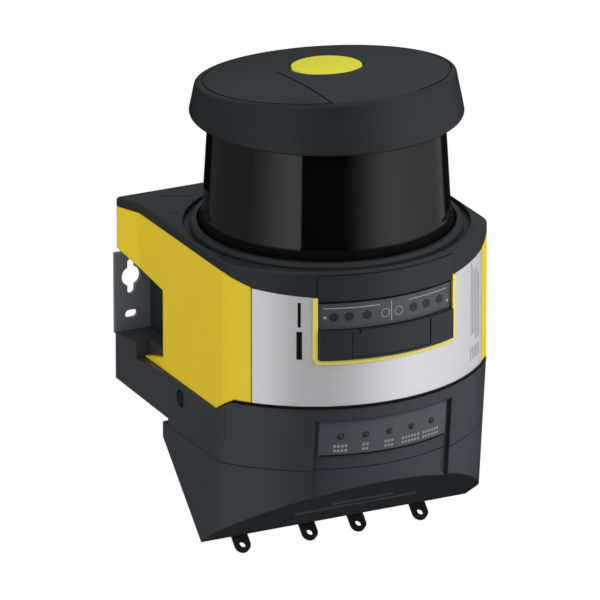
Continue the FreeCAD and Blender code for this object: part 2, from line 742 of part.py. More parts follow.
# Bores for the flap's pin in the sill and in the ear
pin_bottom = cover_bottom + size.flap_pin_grip
pocket(cover, "XY_Plane", pin_bottom, far, circles=[(*flap_axis, size.flap_pin_radius)],
       reverse=True)
finish(cover, "service_cover")


# Service flap: a curved lid that swings sideways on an upright pin

flap = new_body("ServiceFlap")
flap_bottom = sill_top + size.flap_gap
pad(flap, "XY_Plane", flap_bottom, size.cover_top - flap_bottom,
    [front_strip(cover_radius, flap_inner, -size.flap_half_width, size.flap_half_width)])
round_edges(flap, size.flap_thickness / 3,
            upright_at(size.flap_half_width.value, arc_depth(flap_middle, size.flap_half_width).value))
notch_end = ear_end - 0.9
pocket(flap, "XY_Plane", ear_bottom - size.flap_gap, far,
       [front_strip(cover_radius + 2, flap_inner - 2, -size.flap_half_width - 1, -notch_end)],
       reverse=True)
pocket(flap, "XY_Plane", 0, far,
       circles=[(*flap_axis, size.flap_pin_radius + size.running_gap)], reverse=True)
finish(flap, "service_flap")

pin = new_body("FlapPin")
pad(pin, "XY_Plane", pin_bottom, size.cover_top - pin_bottom, circles=[(*flap_axis, size.flap_pin_radius)])
finish(pin, "flap_pin")


# Service socket behind the flap

service_socket = new_body("ServiceSocket")
socket_front = arc_depth(bead_back + 1.2, 0)
socket_length = dim(12.0)
socket_depth = dim(8.0)
socket_wall = dim(1.2)
shell_half = socket_half - size.fit_gap
shell_low = socket_low + size.fit_gap
shell_high = socket_high - size.fit_gap
pad(service_socket, "XZ_Plane", -(socket_front + socket_length), socket_length,
    [rectangle(-shell_half, shell_low, shell_half, shell_high)])
pocket(service_socket, "XZ_Plane", -socket_front, socket_depth,
       [rectangle(-shell_half + socket_wall, shell_low + socket_wall,
                  shell_half - socket_wall, shell_high - socket_wall)])
pad(service_socket, "XZ_Plane", -(socket_front + socket_depth), socket_wall,
    [rectangle(-shell_half / 2, shell_low + 2 * socket_wall, shell_half / 2, shell_high - 2 * socket_wall)])
finish(service_socket, "service_socket")


# Deck cover: the dark lid of the housing, with the lip that holds the window

deck = new_body("DeckCover")
deck_outline = plan_outline(size.side_half_width, size.wing_half_width, size.wing_start,
                            deck_rear, size.front_radius)
pad(deck, "XY_Plane", size.hood_bottom, size.deck_top - size.hood_bottom, [deck_outline])
round_edges(deck, size.corner_round, upright_at(size.side_half_width.value, housing_corner.value))


def top_outer_edge(edge):
    box = edge.BoundBox
    level = abs(box.ZMin - size.deck_top.value) < 0.01 and box.ZLength < 0.01
    return level and box.Center.y < size.wall_to_axis.value - 1


round_edges(deck, size.deck_round, top_outer_edge)
inner_deck = plan_outline(size.side_half_width - size.skin, size.wing_half_width - size.skin,
                          size.wing_start, deck_rear - size.skin, size.front_radius - size.skin)
pocket(deck, "XY_Plane", size.deck_top - size.skin, far, [inner_deck])
under_deck = [(deck_rear + 10, size.deck_side_edge)] + deck_edge(dim(0)) + [
    (-2 * size.front_radius, size.deck_front_edge),
    (-2 * size.front_radius, size.hood_bottom - 1),
    (deck_rear + 10, size.hood_bottom - 1),
]
pocket(deck, "YZ_Plane", 0, far, [(under_deck, {})], side="Symmetric")
seal_outer = size.window_foot_radius + 1.2
lip_inner = seal_outer + size.fit_gap / 3
lip_outer = lip_inner + size.lip_width
seal_bottom = size.deck_top - 1.2
seal_top = size.deck_top + 0.6
deck_hole = size.window_foot_radius - 5.2
spin(deck, "Revolution", [
    (lip_inner, size.deck_top - 1),
    (lip_outer + 1.0, size.deck_top - 1),
    (lip_outer + 1.0, size.deck_top),
    (lip_outer, size.deck_top + size.lip_height),
    (lip_inner, size.deck_top + size.lip_height),
])
spin(deck, "Groove", [
    (0, seal_bottom),
    (lip_inner, seal_bottom),
    (lip_inner, size.deck_top + 10),
    (0, size.deck_top + 10),
])
spin(deck, "Groove", [
    (0, size.deck_top - 10),
    (deck_hole, size.deck_top - 10),
    (deck_hole, size.deck_top + 10),
    (0, size.deck_top + 10),
])
# Groove round the lip, which drains the deck
moat_inner = lip_outer + 1.0
moat_outer = moat_inner + size.moat_width
spin(deck, "Groove", [
    (moat_inner, size.deck_top + 5),
    (moat_inner, size.deck_top - size.moat_depth),
    (moat_outer - size.moat_depth / 2, size.deck_top - size.moat_depth),
    (moat_outer, size.deck_top + 5),
])


def crease(inner_x, inner_y, outer_x, outer_y):
    """A thin straight groove between two places on the deck."""
    length = math.hypot(outer_x - inner_x, outer_y - inner_y)
    across = size.crease_width * ((outer_y - inner_y) / length / 2)
    along = size.crease_width * ((inner_x - outer_x) / length / 2)
    return [
        (inner_x + across, inner_y + along),
        (inner_x - across, inner_y - along),
        (outer_x - across, outer_y - along),
        (outer_x + across, outer_y + along),
    ], {}


for side in (-1, 1):
    pocket(deck, "XY_Plane", size.deck_top, size.crease_depth,
           [crease(side * 40.0, 57.5, side * 56.0, 64.3), crease(side * 56.5, 39.3, side * 62.5, 42.2)])
# Seat of the trim above the indicators
seat_radius = size.front_radius - size.hood_depth
pocket(deck, "XY_Plane", size.hood_top, far,
       [front_strip(3 * size.front_radius, seat_radius, -bead_inner, bead_inner)])
finish(deck, "deck_cover")

hood = new_body("IndicatorHood")
hood_half = bead_inner - size.fit_gap / 2
pad(hood, "XY_Plane", size.hood_bottom, size.hood_top - size.fit_gap - size.hood_bottom,
    [front_strip(size.front_radius + size.hood_proud, seat_radius + size.fit_gap,
                 -hood_half, hood_half)])
finish(hood, "indicator_hood")


# Window: a dark cone that is open to infrared light, flared at its foot, on a rubber seal

window = new_body("Window")
foot_top = seal_top + size.window_foot_height
flare_top = foot_top + size.window_flare_height
flange_top = size.cap_bottom + size.cap_wall
flare_width = size.window_foot_radius - size.window_base_radius
flare_radius = (flare_width * flare_width + size.window_flare_height * size.window_flare_height) \
    / (2 * flare_width)
spin(window, "Revolution", [
    (size.window_top_radius - size.window_wall, flange_top),
    (size.window_base_radius - size.window_wall, flare_top),
    (size.window_base_radius - size.window_wall, seal_top),
    (size.window_foot_radius, seal_top),
    (size.window_foot_radius, foot_top),
    (size.window_base_radius, flare_top),
    (size.window_top_radius, flange_top),
], {4: -flare_radius})
finish(window, "scanner_window")

seal = new_body("WindowSeal")
spin(seal, "Revolution", [
    (deck_hole + 0.2, seal_bottom),
    (seal_outer, seal_bottom),
    (seal_outer, seal_top - 0.2),
    (size.window_foot_radius + 0.2, seal_top),
    (deck_hole + 0.2, seal_top),
])
finish(seal, "window_seal")


# Cap: a turned skirt under a crown whose high point lies in front, with a swirl of grooves

def crown_ball(name, shrink):
    lie = FreeCAD.Rotation(FreeCAD.Vector(1, 0, 0), 90)
    return primitive("Sphere", name, (0, -size.crown_offset, size.crown_top - size.crown_radius),
                     lie, Radius=size.crown_radius - shrink)


def skirt_cone(name, bottom, inset, top):
    lower = size.cap_radius - inset - size.cap_skirt_slope * (bottom - size.cap_bottom)
    upper = size.cap_radius - inset - size.cap_skirt_slope * (top - size.cap_bottom)
    return primitive("Cone", name, (0, 0, bottom), Radius1=lower, Radius2=upper,
                     Height=dim(top) - bottom)


above_cap = size.crown_top + 3
cap_blank = common("CapBlank", skirt_cone("CapSkirt", size.cap_bottom, dim(0), above_cap),
                   crown_ball("CapCrown", 0))
doc.recompute()
cap_rim = doc.addObject("Part::Fillet", "CapRim")
cap_rim.Base = cap_blank
rim_edges = []
for number, edge in enumerate(cap_blank.Shape.Edges, start=1):
    box = edge.BoundBox
    if box.ZMin > size.cap_bottom.value + 2 and box.DiagonalLength > size.cap_radius.value:
        rim_edges.append((number, size.cap_rim_round.value, size.cap_rim_round.value))
    elif box.ZMax < size.cap_bottom.value + 0.01 and box.DiagonalLength > size.cap_radius.value:
        rim_edges.append((number, size.fit_gap.value * 3, size.fit_gap.value * 3))
cap_rim.Edges = rim_edges
cap_mouth = rod("CapMouth", 0, 0, size.cap_bottom - 1, flange_top + 1,
                size.window_top_radius + size.fit_gap + 0.2)
cap_space = common("CapSpace", skirt_cone("CapInside", flange_top, size.cap_wall, above_cap),
                   crown_ball("CapCeiling", size.cap_wall))
groove_ball = crown_ball("GrooveFloor", size.swirl_depth)
swirl_low = size.cap_bottom + 5
swirl_ring = ring("SwirlRing", swirl_low, above_cap, size.swirl_radius,
                  size.swirl_radius + size.swirl_width)
swirl_gap = block("SwirlGap", (-size.swirl_line_offset + size.swirl_width, -size.cap_radius, swirl_low - 1),
                  (20, -size.swirl_radius / 2, above_cap + 1))
swirl_end = root(size.swirl_radius * size.swirl_radius
                 - size.swirl_line_offset * size.swirl_line_offset)
swirl_line = block("SwirlLine", (-size.swirl_line_offset, -swirl_end - size.swirl_width / 2, swirl_low),
                   (-size.swirl_line_offset + size.swirl_width, 5, above_cap))
swirl = cut("Swirl", fuse("SwirlLines", cut("SwirlArc", swirl_ring, swirl_gap), swirl_line),
            groove_ball)
crown_tilt = arc_sine(size.crown_offset / size.crown_radius)
crown_middle = size.crown_top - size.crown_radius \
    + root(size.crown_radius * size.crown_radius - size.crown_offset * size.crown_offset)


def on_crown(kind, name, depth, **lengths):
    """A primitive that stands square on the crown above the scan axis."""
    thing = primitive(kind, name, (0, 0, crown_middle - depth),
                      FreeCAD.Rotation(FreeCAD.Vector(1, 0, 0), -crown_tilt.value), **lengths)
    bind(thing, "Placement.Rotation.Angle", crown_tilt)
    thing.Placement.Rotation.Axis = FreeCAD.Vector(-1, 0, 0)
    return thing


badge_seat = on_crown("Cylinder", "BadgeSeat", size.badge_seat,
                      Radius=size.badge_radius + size.badge_gap, Height=size.badge_seat + 5)
cap = cut("Cap", cap_rim, fuse("CapHollow", cap_mouth, cap_space), swirl, badge_seat)
finish(cap, "top_cap")

badge_disc = on_crown("Cylinder", "BadgeDisc", size.badge_seat, Radius=size.badge_radius,
                      Height=size.badge_seat + size.badge_proud)
badge_ball_radius = dim(160.0)
badge_dome = on_crown("Sphere", "BadgeDome", badge_ball_radius - size.badge_proud,
                      Radius=badge_ball_radius)
badge = common("Badge", badge_disc, badge_dome)
finish(badge, "cap_disc")


# Motor plate: closes the top of the window, carries the motor above and the bearings below

plate_top = flange_top + size.motor_plate_thickness
hub_radius = size.bearing_radius + 2
encoder_level = size.rotor_top + 3.2
encoder_thickness = dim(1.0)
hub_bottom = encoder_level + encoder_thickness + 0.6
motor_plate = new_body("MotorPlate")
plate_radius = size.cap_radius - size.cap_wall - 1.2
spin(motor_plate, "Revolution", [
    (size.shaft_radius + 1.5, plate_top),
    (size.shaft_radius + 1.5, hub_bottom + size.bearing_width + 1),
    (size.bearing_radius, hub_bottom + size.bearing_width + 1),
    (size.bearing_radius, hub_bottom),
    (hub_radius, hub_bottom),
    (hub_radius, flange_top),
    (plate_radius, flange_top),
    (plate_radius, plate_top),
])
spin(motor_plate, "Groove", [
    (0, plate_top - size.bearing_width / 2),
    (size.bearing_radius, plate_top - size.bearing_width / 2),
    (size.bearing_radius, plate_top + 1),
    (0, plate_top + 1),
])
finish(motor_plate, "motor_plate")


def bearing(label, bottom):
    name = "".join(word.title() for word in label.split("_"))
    inner = size.shaft_radius + size.running_gap
    return finish(ring(name, bottom, bottom + size.bearing_width, inner, size.bearing_radius), label)


upper_bearing_bottom = plate_top - size.bearing_width / 2
bearing("lower_bearing", hub_bottom + 0.5)
bearing("upper_bearing", upper_bearing_bottom)

motor_bottom = upper_bearing_bottom + size.bearing_width
motor = new_body("MotorStator")
stator_hole = size.motor_radius * 0.6
spin(motor, "Revolution", [
    (stator_hole, plate_top),
    (size.motor_radius, plate_top),
    (size.motor_radius, plate_top + size.motor_height - 1),
    (size.motor_radius - 1, plate_top + size.motor_height),
    (stator_hole, plate_top + size.motor_height),
])
finish(motor, "motor_stator")

# Rotor: magnet hub, shaft, mirror carrier, mirror and encoder disc
magnet = new_body("MotorMagnet")
magnet_radius = stator_hole - 0.5
spin(magnet, "Revolution", [
    (size.shaft_radius, motor_bottom + 0.4),
    (magnet_radius, motor_bottom + 0.4),
    (magnet_radius, plate_top + size.motor_height - 0.5),
    (size.shaft_radius, plate_top + size.motor_height - 0.5),
])
finish(magnet, "motor_magnet")

shaft = rod("Shaft", 0, 0, size.rotor_top - 6, plate_top + size.motor_height, size.shaft_radius)
finish(fuse("RotorShaft", shaft, rod("ShaftCollar", 0, 0, size.rotor_top, hub_bottom - 0.4,
                                    size.shaft_radius + 2)), "rotor_shaft")


def below_mirror(name, offset):
    """Everything below the mirror plane, which leans at 45 degrees through the scan plane."""
    reach = 4 * size.rotor_radius
    lean = FreeCAD.Rotation(FreeCAD.Vector(1, 0, 0), -45)
    shift = dim(offset) * math.sqrt(0.5)
    box = primitive("Box", name, (-reach / 2, -reach * math.sqrt(0.5) - shift * 2,
                                  size.rotor_axis_height), lean,
                    Length=reach, Width=reach * 2, Height=reach)
    box.Placement.Rotation = FreeCAD.Rotation(FreeCAD.Vector(1, 0, 0), 135)
    bind(box, "Placement.Base.y", reach * math.sqrt(0.5) - shift)
    bind(box, "Placement.Base.z", size.rotor_axis_height - reach * math.sqrt(0.5) - shift)
    return box


carrier_rod = rod("CarrierRod", 0, 0, size.rotor_bottom, size.rotor_top, size.rotor_radius)
carrier_bore = rod("CarrierBore", 0, 0, size.rotor_top - 6, size.rotor_top + 1,
                   size.shaft_radius + size.running_gap)
carrier = cut("Carrier", carrier_rod, below_mirror("CarrierCut", 0), carrier_bore)
finish(carrier, "mirror_carrier")

mirror_rod = rod("MirrorRod", 0, 0, size.rotor_bottom, size.rotor_top, size.rotor_radius - 0.8)
mirror_block = common("MirrorBlock", mirror_rod, below_mirror("MirrorBack", 0))
mirror = cut("Mirror", mirror_block, below_mirror("MirrorFace", size.mirror_thickness))
finish(mirror, "rotating_mirror")

encoder = ring("EncoderDisc", encoder_level, encoder_level + encoder_thickness, size.shaft_radius + 2,
               size.encoder_radius)
finish(encoder, "encoder_disc")

# Fork sensor that reads the encoder disc, hung from the motor plate
fork_low = block("ForkLow", (size.encoder_radius - 3, -3, encoder_level - 2.2),
                 (size.encoder_radius + 4, 3, encoder_level - 0.9))
fork_back = block("ForkBack", (size.encoder_radius + 1.5, -3, encoder_level - 2.2),
                  (size.encoder_radius + 4, 3, flange_top))
fork_high = block("ForkHigh", (size.encoder_radius - 3, -3, encoder_level + 1.9),
                  (size.encoder_radius + 4, 3, encoder_level + 3.2))
finish(fuse("EncoderSensor", fork_low, fork_back, fork_high), "encoder_sensor")


# Receiver optics: a tube hung in the inner housing, its lens, the laser tube and the board below

tube = new_body("LensTube")
tube_inner = size.lens_radius + size.fit_gap / 3
tube_outer = tube_inner + size.tube_wall
flange_bottom = core_top - 2 * size.core_wall
spin(tube, "Revolution", [
    (tube_inner - 2, size.tube_bottom),
    (tube_outer, size.tube_bottom),
    (tube_outer, flange_bottom),
    (flange_radius, flange_bottom),
    (flange_radius, core_top),
    (tube_inner, core_top),
    (tube_inner, size.lens_bottom),
    (tube_inner - 2, size.lens_bottom),
])
finish(tube, "lens_tube")

lens = new_body("ReceiverLens")
lens_hole = size.laser_radius + size.fit_gap / 3
lens_sag = size.lens_bulge_radius - root(size.lens_bulge_radius * size.lens_bulge_radius
                                         - size.lens_radius * size.lens_radius)
hole_sag = size.lens_bulge_radius - root(size.lens_bulge_radius * size.lens_bulge_radius
                                         - lens_hole * lens_hole)
lens_shoulder = size.lens_bottom + size.lens_rim
spin(lens, "Revolution", [
    (lens_hole, size.lens_bottom),
    (size.lens_radius, size.lens_bottom),
    (size.lens_radius, lens_shoulder),
    (lens_hole, lens_shoulder + lens_sag - hole_sag),
], {2: size.lens_bulge_radius})
finish(lens, "receiver_lens")

laser_top = lens_shoulder + lens_sag + 1.5
board_under_tube = size.tube_bottom - size.board_thickness
laser = ring("LaserTube", size.tube_bottom, laser_top, size.laser_radius - 1, size.laser_radius)
finish(laser, "laser_tube")

receiver_half = tube_outer + size.receiver_margin
receiver_hole = receiver_half - size.post_inset * 0.7
receiver = cut("ReceiverBoard",
               block("ReceiverPlate", (-receiver_half, -receiver_half, board_under_tube),
                     (receiver_half, receiver_half, size.tube_bottom)),
               rod("ReceiverHole", receiver_hole, receiver_hole, board_under_tube - 1,
                   size.tube_bottom + 1, size.board_thickness))
finish(receiver, "receiver_board")

# Main board on four posts of its own, above the floor of the inner housing
floor_top = size.fit_gap + size.core_wall
main_level = floor_top + size.post_height
main_half = size.core_rear_half_width - size.core_wall - size.board_margin
main_front = arc_depth(core_radius - core_front_wall, main_half) + size.board_margin
main_rear = core_rear - size.core_wall - size.board_margin
main_plate = block("MainPlate", (-main_half, main_front, main_level),
                   (main_half, main_rear, main_level + size.board_thickness))
main_parts = [main_plate]
post_x = main_half - size.post_inset
for number, x in enumerate((-post_x, post_x)):
    main_parts.append(rod(f"MainFrontPost{number}", x, main_front + size.post_inset, floor_top,
                          main_level, size.post_radius))
    main_parts.append(rod(f"MainRearPost{number}", x, main_rear - size.post_inset, floor_top,
                          main_level, size.post_radius))
chips = ((-30, -20, 16, 3), (8, -24, 20, 4), (20, 14, 14, 6), (-34, 30, 10, 9), (-8, -2, 12, 3))
for number, (x, y, width, height) in enumerate(chips):
    chip_top = main_level + size.board_thickness + height
    main_parts.append(block(f"Chip{number}", (x, y, main_level), (x + width, y + width, chip_top)))
finish(fuse("MainBoard", *main_parts), "main_board")

# Plug under the board, which enters the connection unit
def plug_block(name, margin, bottom, top):
    """An upright block with the plug's outline and a margin all round."""
    half = size.plug_half_width + margin
    depth = size.plug_half_depth + margin
    return block(name, (-half, size.plug_middle - depth, bottom), (half, size.plug_middle + depth, top))


plug_bottom = -size.plug_drop
plug_wall = size.plug_half_depth / 2
plug = cut("UnitPlug", plug_block("PlugBody", dim(0), plug_bottom, main_level),
           plug_block("PlugSlot", -plug_wall, plug_bottom - 1, plug_bottom + 5))
finish(plug, "unit_plug")


# Connection unit: upper and lower case with a leaning curved front and a V-shaped underside

def leaning_centre(drop):
    """The centre of the curved front moves back with the drop below the seam."""
    return size.front_centre + size.unit_lean * drop


def unit_outline(inset, drop, rear, wing_half, taper_start):
    """Plan of the connection unit at a drop below the seam."""
    return plan_outline(unit_half - inset, wing_half, taper_start, rear, size.front_radius - inset,
                        leaning_centre(drop))


def loft(body, kind, sections):
    feature = body.newObject("PartDesign::" + kind, body.Name + kind)
    sketches = [draw(body, "XY_Plane", level, [loop]) for level, loop in sections]
    feature.Profile = (sketches[0], [""])
    feature.Sections = [(sketch, [""]) for sketch in sketches[1:]]
    feature.Ruled = True
    body.Tip = feature
    return feature


def leaning_case(body, inset, top_drop, bottom_drop, rear, wing_half, taper_start):
    """A block with the unit's outline whose front leans back, inset from the outer faces."""
    loft(body, "AdditiveLoft", [
        (-drop, unit_outline(inset, drop, rear, wing_half, taper_start))
        for drop in (top_drop, bottom_drop)
    ])
    middle = leaning_centre((top_drop + bottom_drop) / 2)
    corner = arc_depth(size.front_radius - inset, unit_half - inset, middle)
    round_edges(body, size.corner_round - inset, upright_at((unit_half - inset).value, corner.value))


def panel_recess(body, top_drop, bottom_drop):
    """The wide shallow recess of the front, cut parallel to the leaning face."""
    half = size.panel_half_width

    def section(drop):
        inner = size.front_radius - size.panel_set_back
        return front_strip(inner + 20, inner, -half, half, leaning_centre(drop))

    loft(body, "SubtractiveLoft", [(-top_drop, section(top_drop)), (-bottom_drop, section(bottom_drop))])


unit_rear = size.wall_to_axis - size.plate_thickness - size.fit_gap / 3
top_gap = size.fit_gap
upper = new_body("ConnectionUpper")
leaning_case(upper, dim(0), top_gap, size.unit_split, unit_rear, size.plate_half_width,
             size.unit_taper_start)
rear_floor = size.unit_rear_height
fold = size.unit_taper_start
fold_drop = size.unit_split - 3.0
pocket(upper, "YZ_Plane", 0, far, [([
    (fold, -size.unit_split - 1),
    (fold, -fold_drop),
    (unit_rear + 1, -rear_floor),
    (unit_rear + 1, -size.unit_split - 1),
], {})], side="Symmetric")
wall = size.unit_wall
step_inner = size.side_half_width - size.skin - size.fit_gap
corner_inner = size.side_half_width - size.corner_round + size.skin
pocket(upper, "YZ_Plane", 0, 2 * (step_inner - wall), [([
    (unit_rear - wall, -wall - top_gap),
    (-12.0, -wall - top_gap),
    (-12.0, -size.unit_split - 1),
    (fold - wall, -size.unit_split - 1),
    (fold - wall, -fold_drop + wall),
    (unit_rear - wall, -rear_floor + wall),
], {})], side="Symmetric")


def front_space(drop):
    """The hollow behind the curved front."""
    radius = size.front_radius - wall - size.panel_set_back
    half = corner_inner - wall
    corner = arc_depth(radius, half, leaning_centre(drop))
    return [(-half, -11.0), (-half, corner), (half, corner), (half, -11.0)], {1: radius}


loft(upper, "SubtractiveLoft", [(-wall - top_gap, front_space(wall)),
                                (-size.unit_split - 1, front_space(size.unit_split + 1))])
panel_recess(upper, size.panel_top_drop, size.unit_split + 1)
# Steps in the upper edge that take the feet and ledges of the yellow sides
ledge_rear = size.recess_front + size.ledge_reach + size.fit_gap
step_level = -size.side_drop - size.fit_gap
step_front = -size.foot_front - 3 * size.fit_gap


def foot_step(rear):
    """Room for the rising foot of a yellow side, as seen from the side, back to a depth."""
    return [
        (step_front, 1),
        (step_front, -size.fit_gap / 2),
        (-size.foot_rear - 2 * size.fit_gap, step_level),
        (rear, step_level),
        (rear, 1),
    ]


for side in (-1, 1):
    outer = size.plate_half_width + 4
    for inner, rear in ((step_inner, ledge_rear), (corner_inner, -size.foot_rear + 2)):
        pocket(upper, "YZ_Plane", outer if side > 0 else -inner, outer - inner, [(foot_step(rear), {})])
# Opening for the plug
pocket(upper, "XY_Plane", 1, far, [round_plug(size.plug_clearance)])
# Bosses, recesses and bores of the locking screws
lock_boss = size.lock_recess_radius + 1.8
for side in (-1, 1):
    pad(upper, "YZ_Plane", side * (unit_half - 1), size.lock_boss_depth,
        circles=[(size.lock_depth, -size.lock_drop, lock_boss)], reverse=side > 0)
    pocket(upper, "YZ_Plane", side * (unit_half + 2), size.lock_recess_depth + 2,
           circles=[(size.lock_depth, -size.lock_drop, size.lock_recess_radius)], reverse=side < 0)
pocket(upper, "YZ_Plane", 0, far,
       circles=[(size.lock_depth, -size.lock_drop, size.lock_shank_radius + size.running_gap)],
       side="Symmetric")
# Bores that take the backs of the status lights
label_outer = size.front_radius - size.panel_set_back + size.label_thickness
lights = []
for number in range(-2, 3):
    x = size.light_pitch * number
    lights.append((x, arc_depth(label_outer, x, leaning_centre(size.light_drop))))
for x, face in lights:
    pocket(upper, "XZ_Plane", -(face + size.light_seat + size.fit_gap), far,
           circles=[(x, -size.light_drop, size.light_radius + size.running_gap)], reverse=True)
finish(upper, "connection_case")

lower = new_body("ConnectionLower")
lower_top = size.unit_split + size.unit_split_gap
lowest = size.ridge_drop + 2
lower_taper = size.slope_rear_depth - 10
leaning_case(lower, dim(0), lower_top, lowest, size.slope_rear_depth, unit_half, lower_taper)
ahead = size.front_radius + 10
ridge = -size.ridge_depth


def chamfer_level(y, lift=0):
    """Height of the front underside at a depth, as seen from the side."""
    return -size.ridge_drop - size.chamfer_rise * (dim(y) - ridge) + lift


def cut_underside(body, lift):
    """Cut the V-shaped underside, raised by lift."""
    pocket(body, "YZ_Plane", 0, far, [([
        (-ahead, chamfer_level(-ahead, lift)),
        (ridge, -size.ridge_drop + lift),
        (size.slope_rear_depth, -size.slope_rear_drop + lift),
        (size.slope_rear_depth + 10, -size.slope_rear_drop + lift),
        (size.slope_rear_depth + 10, -lowest - 5),
        (-ahead, -lowest - 5),
    ], {})], side="Symmetric")


cut_underside(lower, dim(0))
panel_recess(lower, lower_top - 1, lowest + 1)
lower_space = new_body("ConnectionLowerSpace")
space_inset = wall + size.panel_set_back
leaning_case(lower_space, space_inset, lower_top - 1, lowest, size.slope_rear_depth - wall,
             unit_half - space_inset, lower_taper)
cut_underside(lower_space, size.underside_wall)
# Raised field on the front underside
field_rear = dim(-12.0)
field_front = dim(-30.5)
pad(lower, "YZ_Plane", 0, 2 * size.pad_half_width, [([
    (field_rear, chamfer_level(field_rear, 1)),
    (field_rear, chamfer_level(field_rear, -size.pad_proud)),
    (field_front, chamfer_level(field_front, -size.pad_proud)),
    (field_front, chamfer_level(field_front, 1)),
], {})], side="Symmetric")
rib_front = dim(-37.5)
rib_rear = dim(-35.2)
pad(lower, "YZ_Plane", 0, size.pad_half_width, [([
    (rib_rear, chamfer_level(rib_rear, 1)),
    (rib_rear, chamfer_level(rib_rear, -size.pad_proud)),
    (rib_front, chamfer_level(rib_front, -size.pad_proud)),
    (rib_front, chamfer_level(rib_front, 1)),
], {})], side="Symmetric")


# Connectors on the rear underside, each closed by a dust cap with a pull loop

slope_run = size.slope_rear_depth + size.ridge_depth
slope_rise = size.ridge_drop - size.slope_rear_drop
slope_length = root(slope_run * slope_run + slope_rise * slope_rise)
along_y = slope_run / slope_length
along_z = slope_rise / slope_length
out_y = along_z
out_z = -along_y
slope_angle = arc_tangent(slope_run / slope_rise)


def on_slope(kind, name, x, up_slope, outwards, **lengths):
    """A primitive whose axis leaves the rear underside at a right angle."""
    y = ridge + along_y * up_slope + out_y * outwards
    z = -size.ridge_drop + along_z * up_slope + out_z * outwards
    turn = FreeCAD.Rotation(FreeCAD.Vector(-1, 0, 0), 90 + slope_angle.value)
    thing = primitive(kind, name, (x, y, z), turn, **lengths)
    bind(thing, "Placement.Rotation.Angle", 90 + slope_angle)
    return thing


socket_places = (size.socket_one, size.socket_two, size.socket_three, size.socket_four)
socket_bore = size.socket_radius - 0.4
bores = []
for number, x in enumerate(socket_places, start=1):
    bores.append(on_slope("Cylinder", f"SocketBore{number}", x, size.socket_up_slope, dim(-20),
                          Radius=socket_bore + size.fit_gap / 3, Height=40))
lower_case = cut("ConnectionLowerCase", lower, lower_space, *bores)
finish(lower_case, "connection_lower_case")

for number, x in enumerate(socket_places, start=1):
    up = size.socket_up_slope
    flange_height = dim(1.6)
    parts = [
        on_slope("Cylinder", f"SocketFlange{number}", x, up, size.fit_gap / 3,
                 Radius=size.socket_flange_radius, Height=flange_height),
        on_slope("Cylinder", f"SocketThread{number}", x, up, size.fit_gap / 3,
                 Radius=size.socket_radius - size.fit_gap, Height=size.socket_length),
        on_slope("Cylinder", f"SocketBack{number}", x, up, dim(-8),
                 Radius=socket_bore, Height=9),
    ]
    hollow = on_slope("Cylinder", f"SocketHollow{number}", x, up, size.socket_length - 3,
                      Radius=size.socket_radius - 1.5, Height=8)
    finish(cut(f"Socket{number}", fuse(f"SocketBody{number}", *parts), hollow), f"connector_{number}")

    cap_start = size.fit_gap / 3 + flange_height + size.fit_gap
    cap_shell = on_slope("Cylinder", f"DustShell{number}", x, up, cap_start,
                         Radius=size.dust_cap_radius, Height=size.dust_cap_length)
    cap_bore = on_slope("Cylinder", f"DustBore{number}", x, up, cap_start - 1,
                        Radius=size.socket_radius, Height=size.dust_cap_length - 0.8)
    loop_up = -size.loop_overhang
    loop_out = cap_start
    loop_disc = on_slope("Cylinder", f"LoopDisc{number}", x, loop_up, loop_out,
                         Radius=size.loop_radius, Height=size.loop_thickness)
    strap = on_slope("Box", f"LoopStrap{number}", x - size.loop_radius, up, loop_out,
                     Length=2 * size.loop_radius, Width=up - loop_up, Height=size.loop_thickness)
    loop_hole = on_slope("Cylinder", f"LoopHole{number}", x, loop_up, loop_out - 1,
                         Radius=size.loop_hole_radius, Height=size.loop_thickness + 2)
    dust = cut(f"DustCap{number}", fuse(f"DustBody{number}", cap_shell, loop_disc, strap), cap_bore,
               loop_hole)
    finish(dust, f"dust_cap_{number}")


# Status panel with its five lights, set into the recess of the leaning front

panel = new_body("StatusPanel")


def panel_section(drop):
    """Plan of the status panel at a drop below the seam."""
    back = size.front_radius - size.panel_set_back + size.running_gap / 3
    return front_strip(label_outer, back, -size.label_half_width, size.label_half_width,
                       leaning_centre(drop))


panel_drops = (size.panel_top_drop + 2 * size.fit_gap, size.panel_top_drop + size.label_height)
loft(panel, "AdditiveLoft", [(-drop, panel_section(drop)) for drop in panel_drops])
pocket(panel, "XZ_Plane", 0, far, reverse=True,
       circles=[(x, -size.light_drop, size.light_radius + size.running_gap) for x, face in lights])
finish(panel, "status_panel")

dome_radius = 2 * size.light_radius
for number, (x, face) in enumerate(lights, start=1):
    lie = FreeCAD.Rotation(FreeCAD.Vector(1, 0, 0), 90)
    light = primitive("Cylinder", f"Light{number}", (x, face + size.light_seat, -size.light_drop), lie,
                      Radius=size.light_radius, Height=size.light_seat + size.light_proud)
    dome = primitive("Sphere", f"LightDome{number}",
                     (x, face - size.light_proud + dome_radius, -size.light_drop), Radius=dome_radius)
    finish(common(f"StatusLight{number}", light, dome), f"status_light_{number}")


# Locking screws in the sides of the connection unit

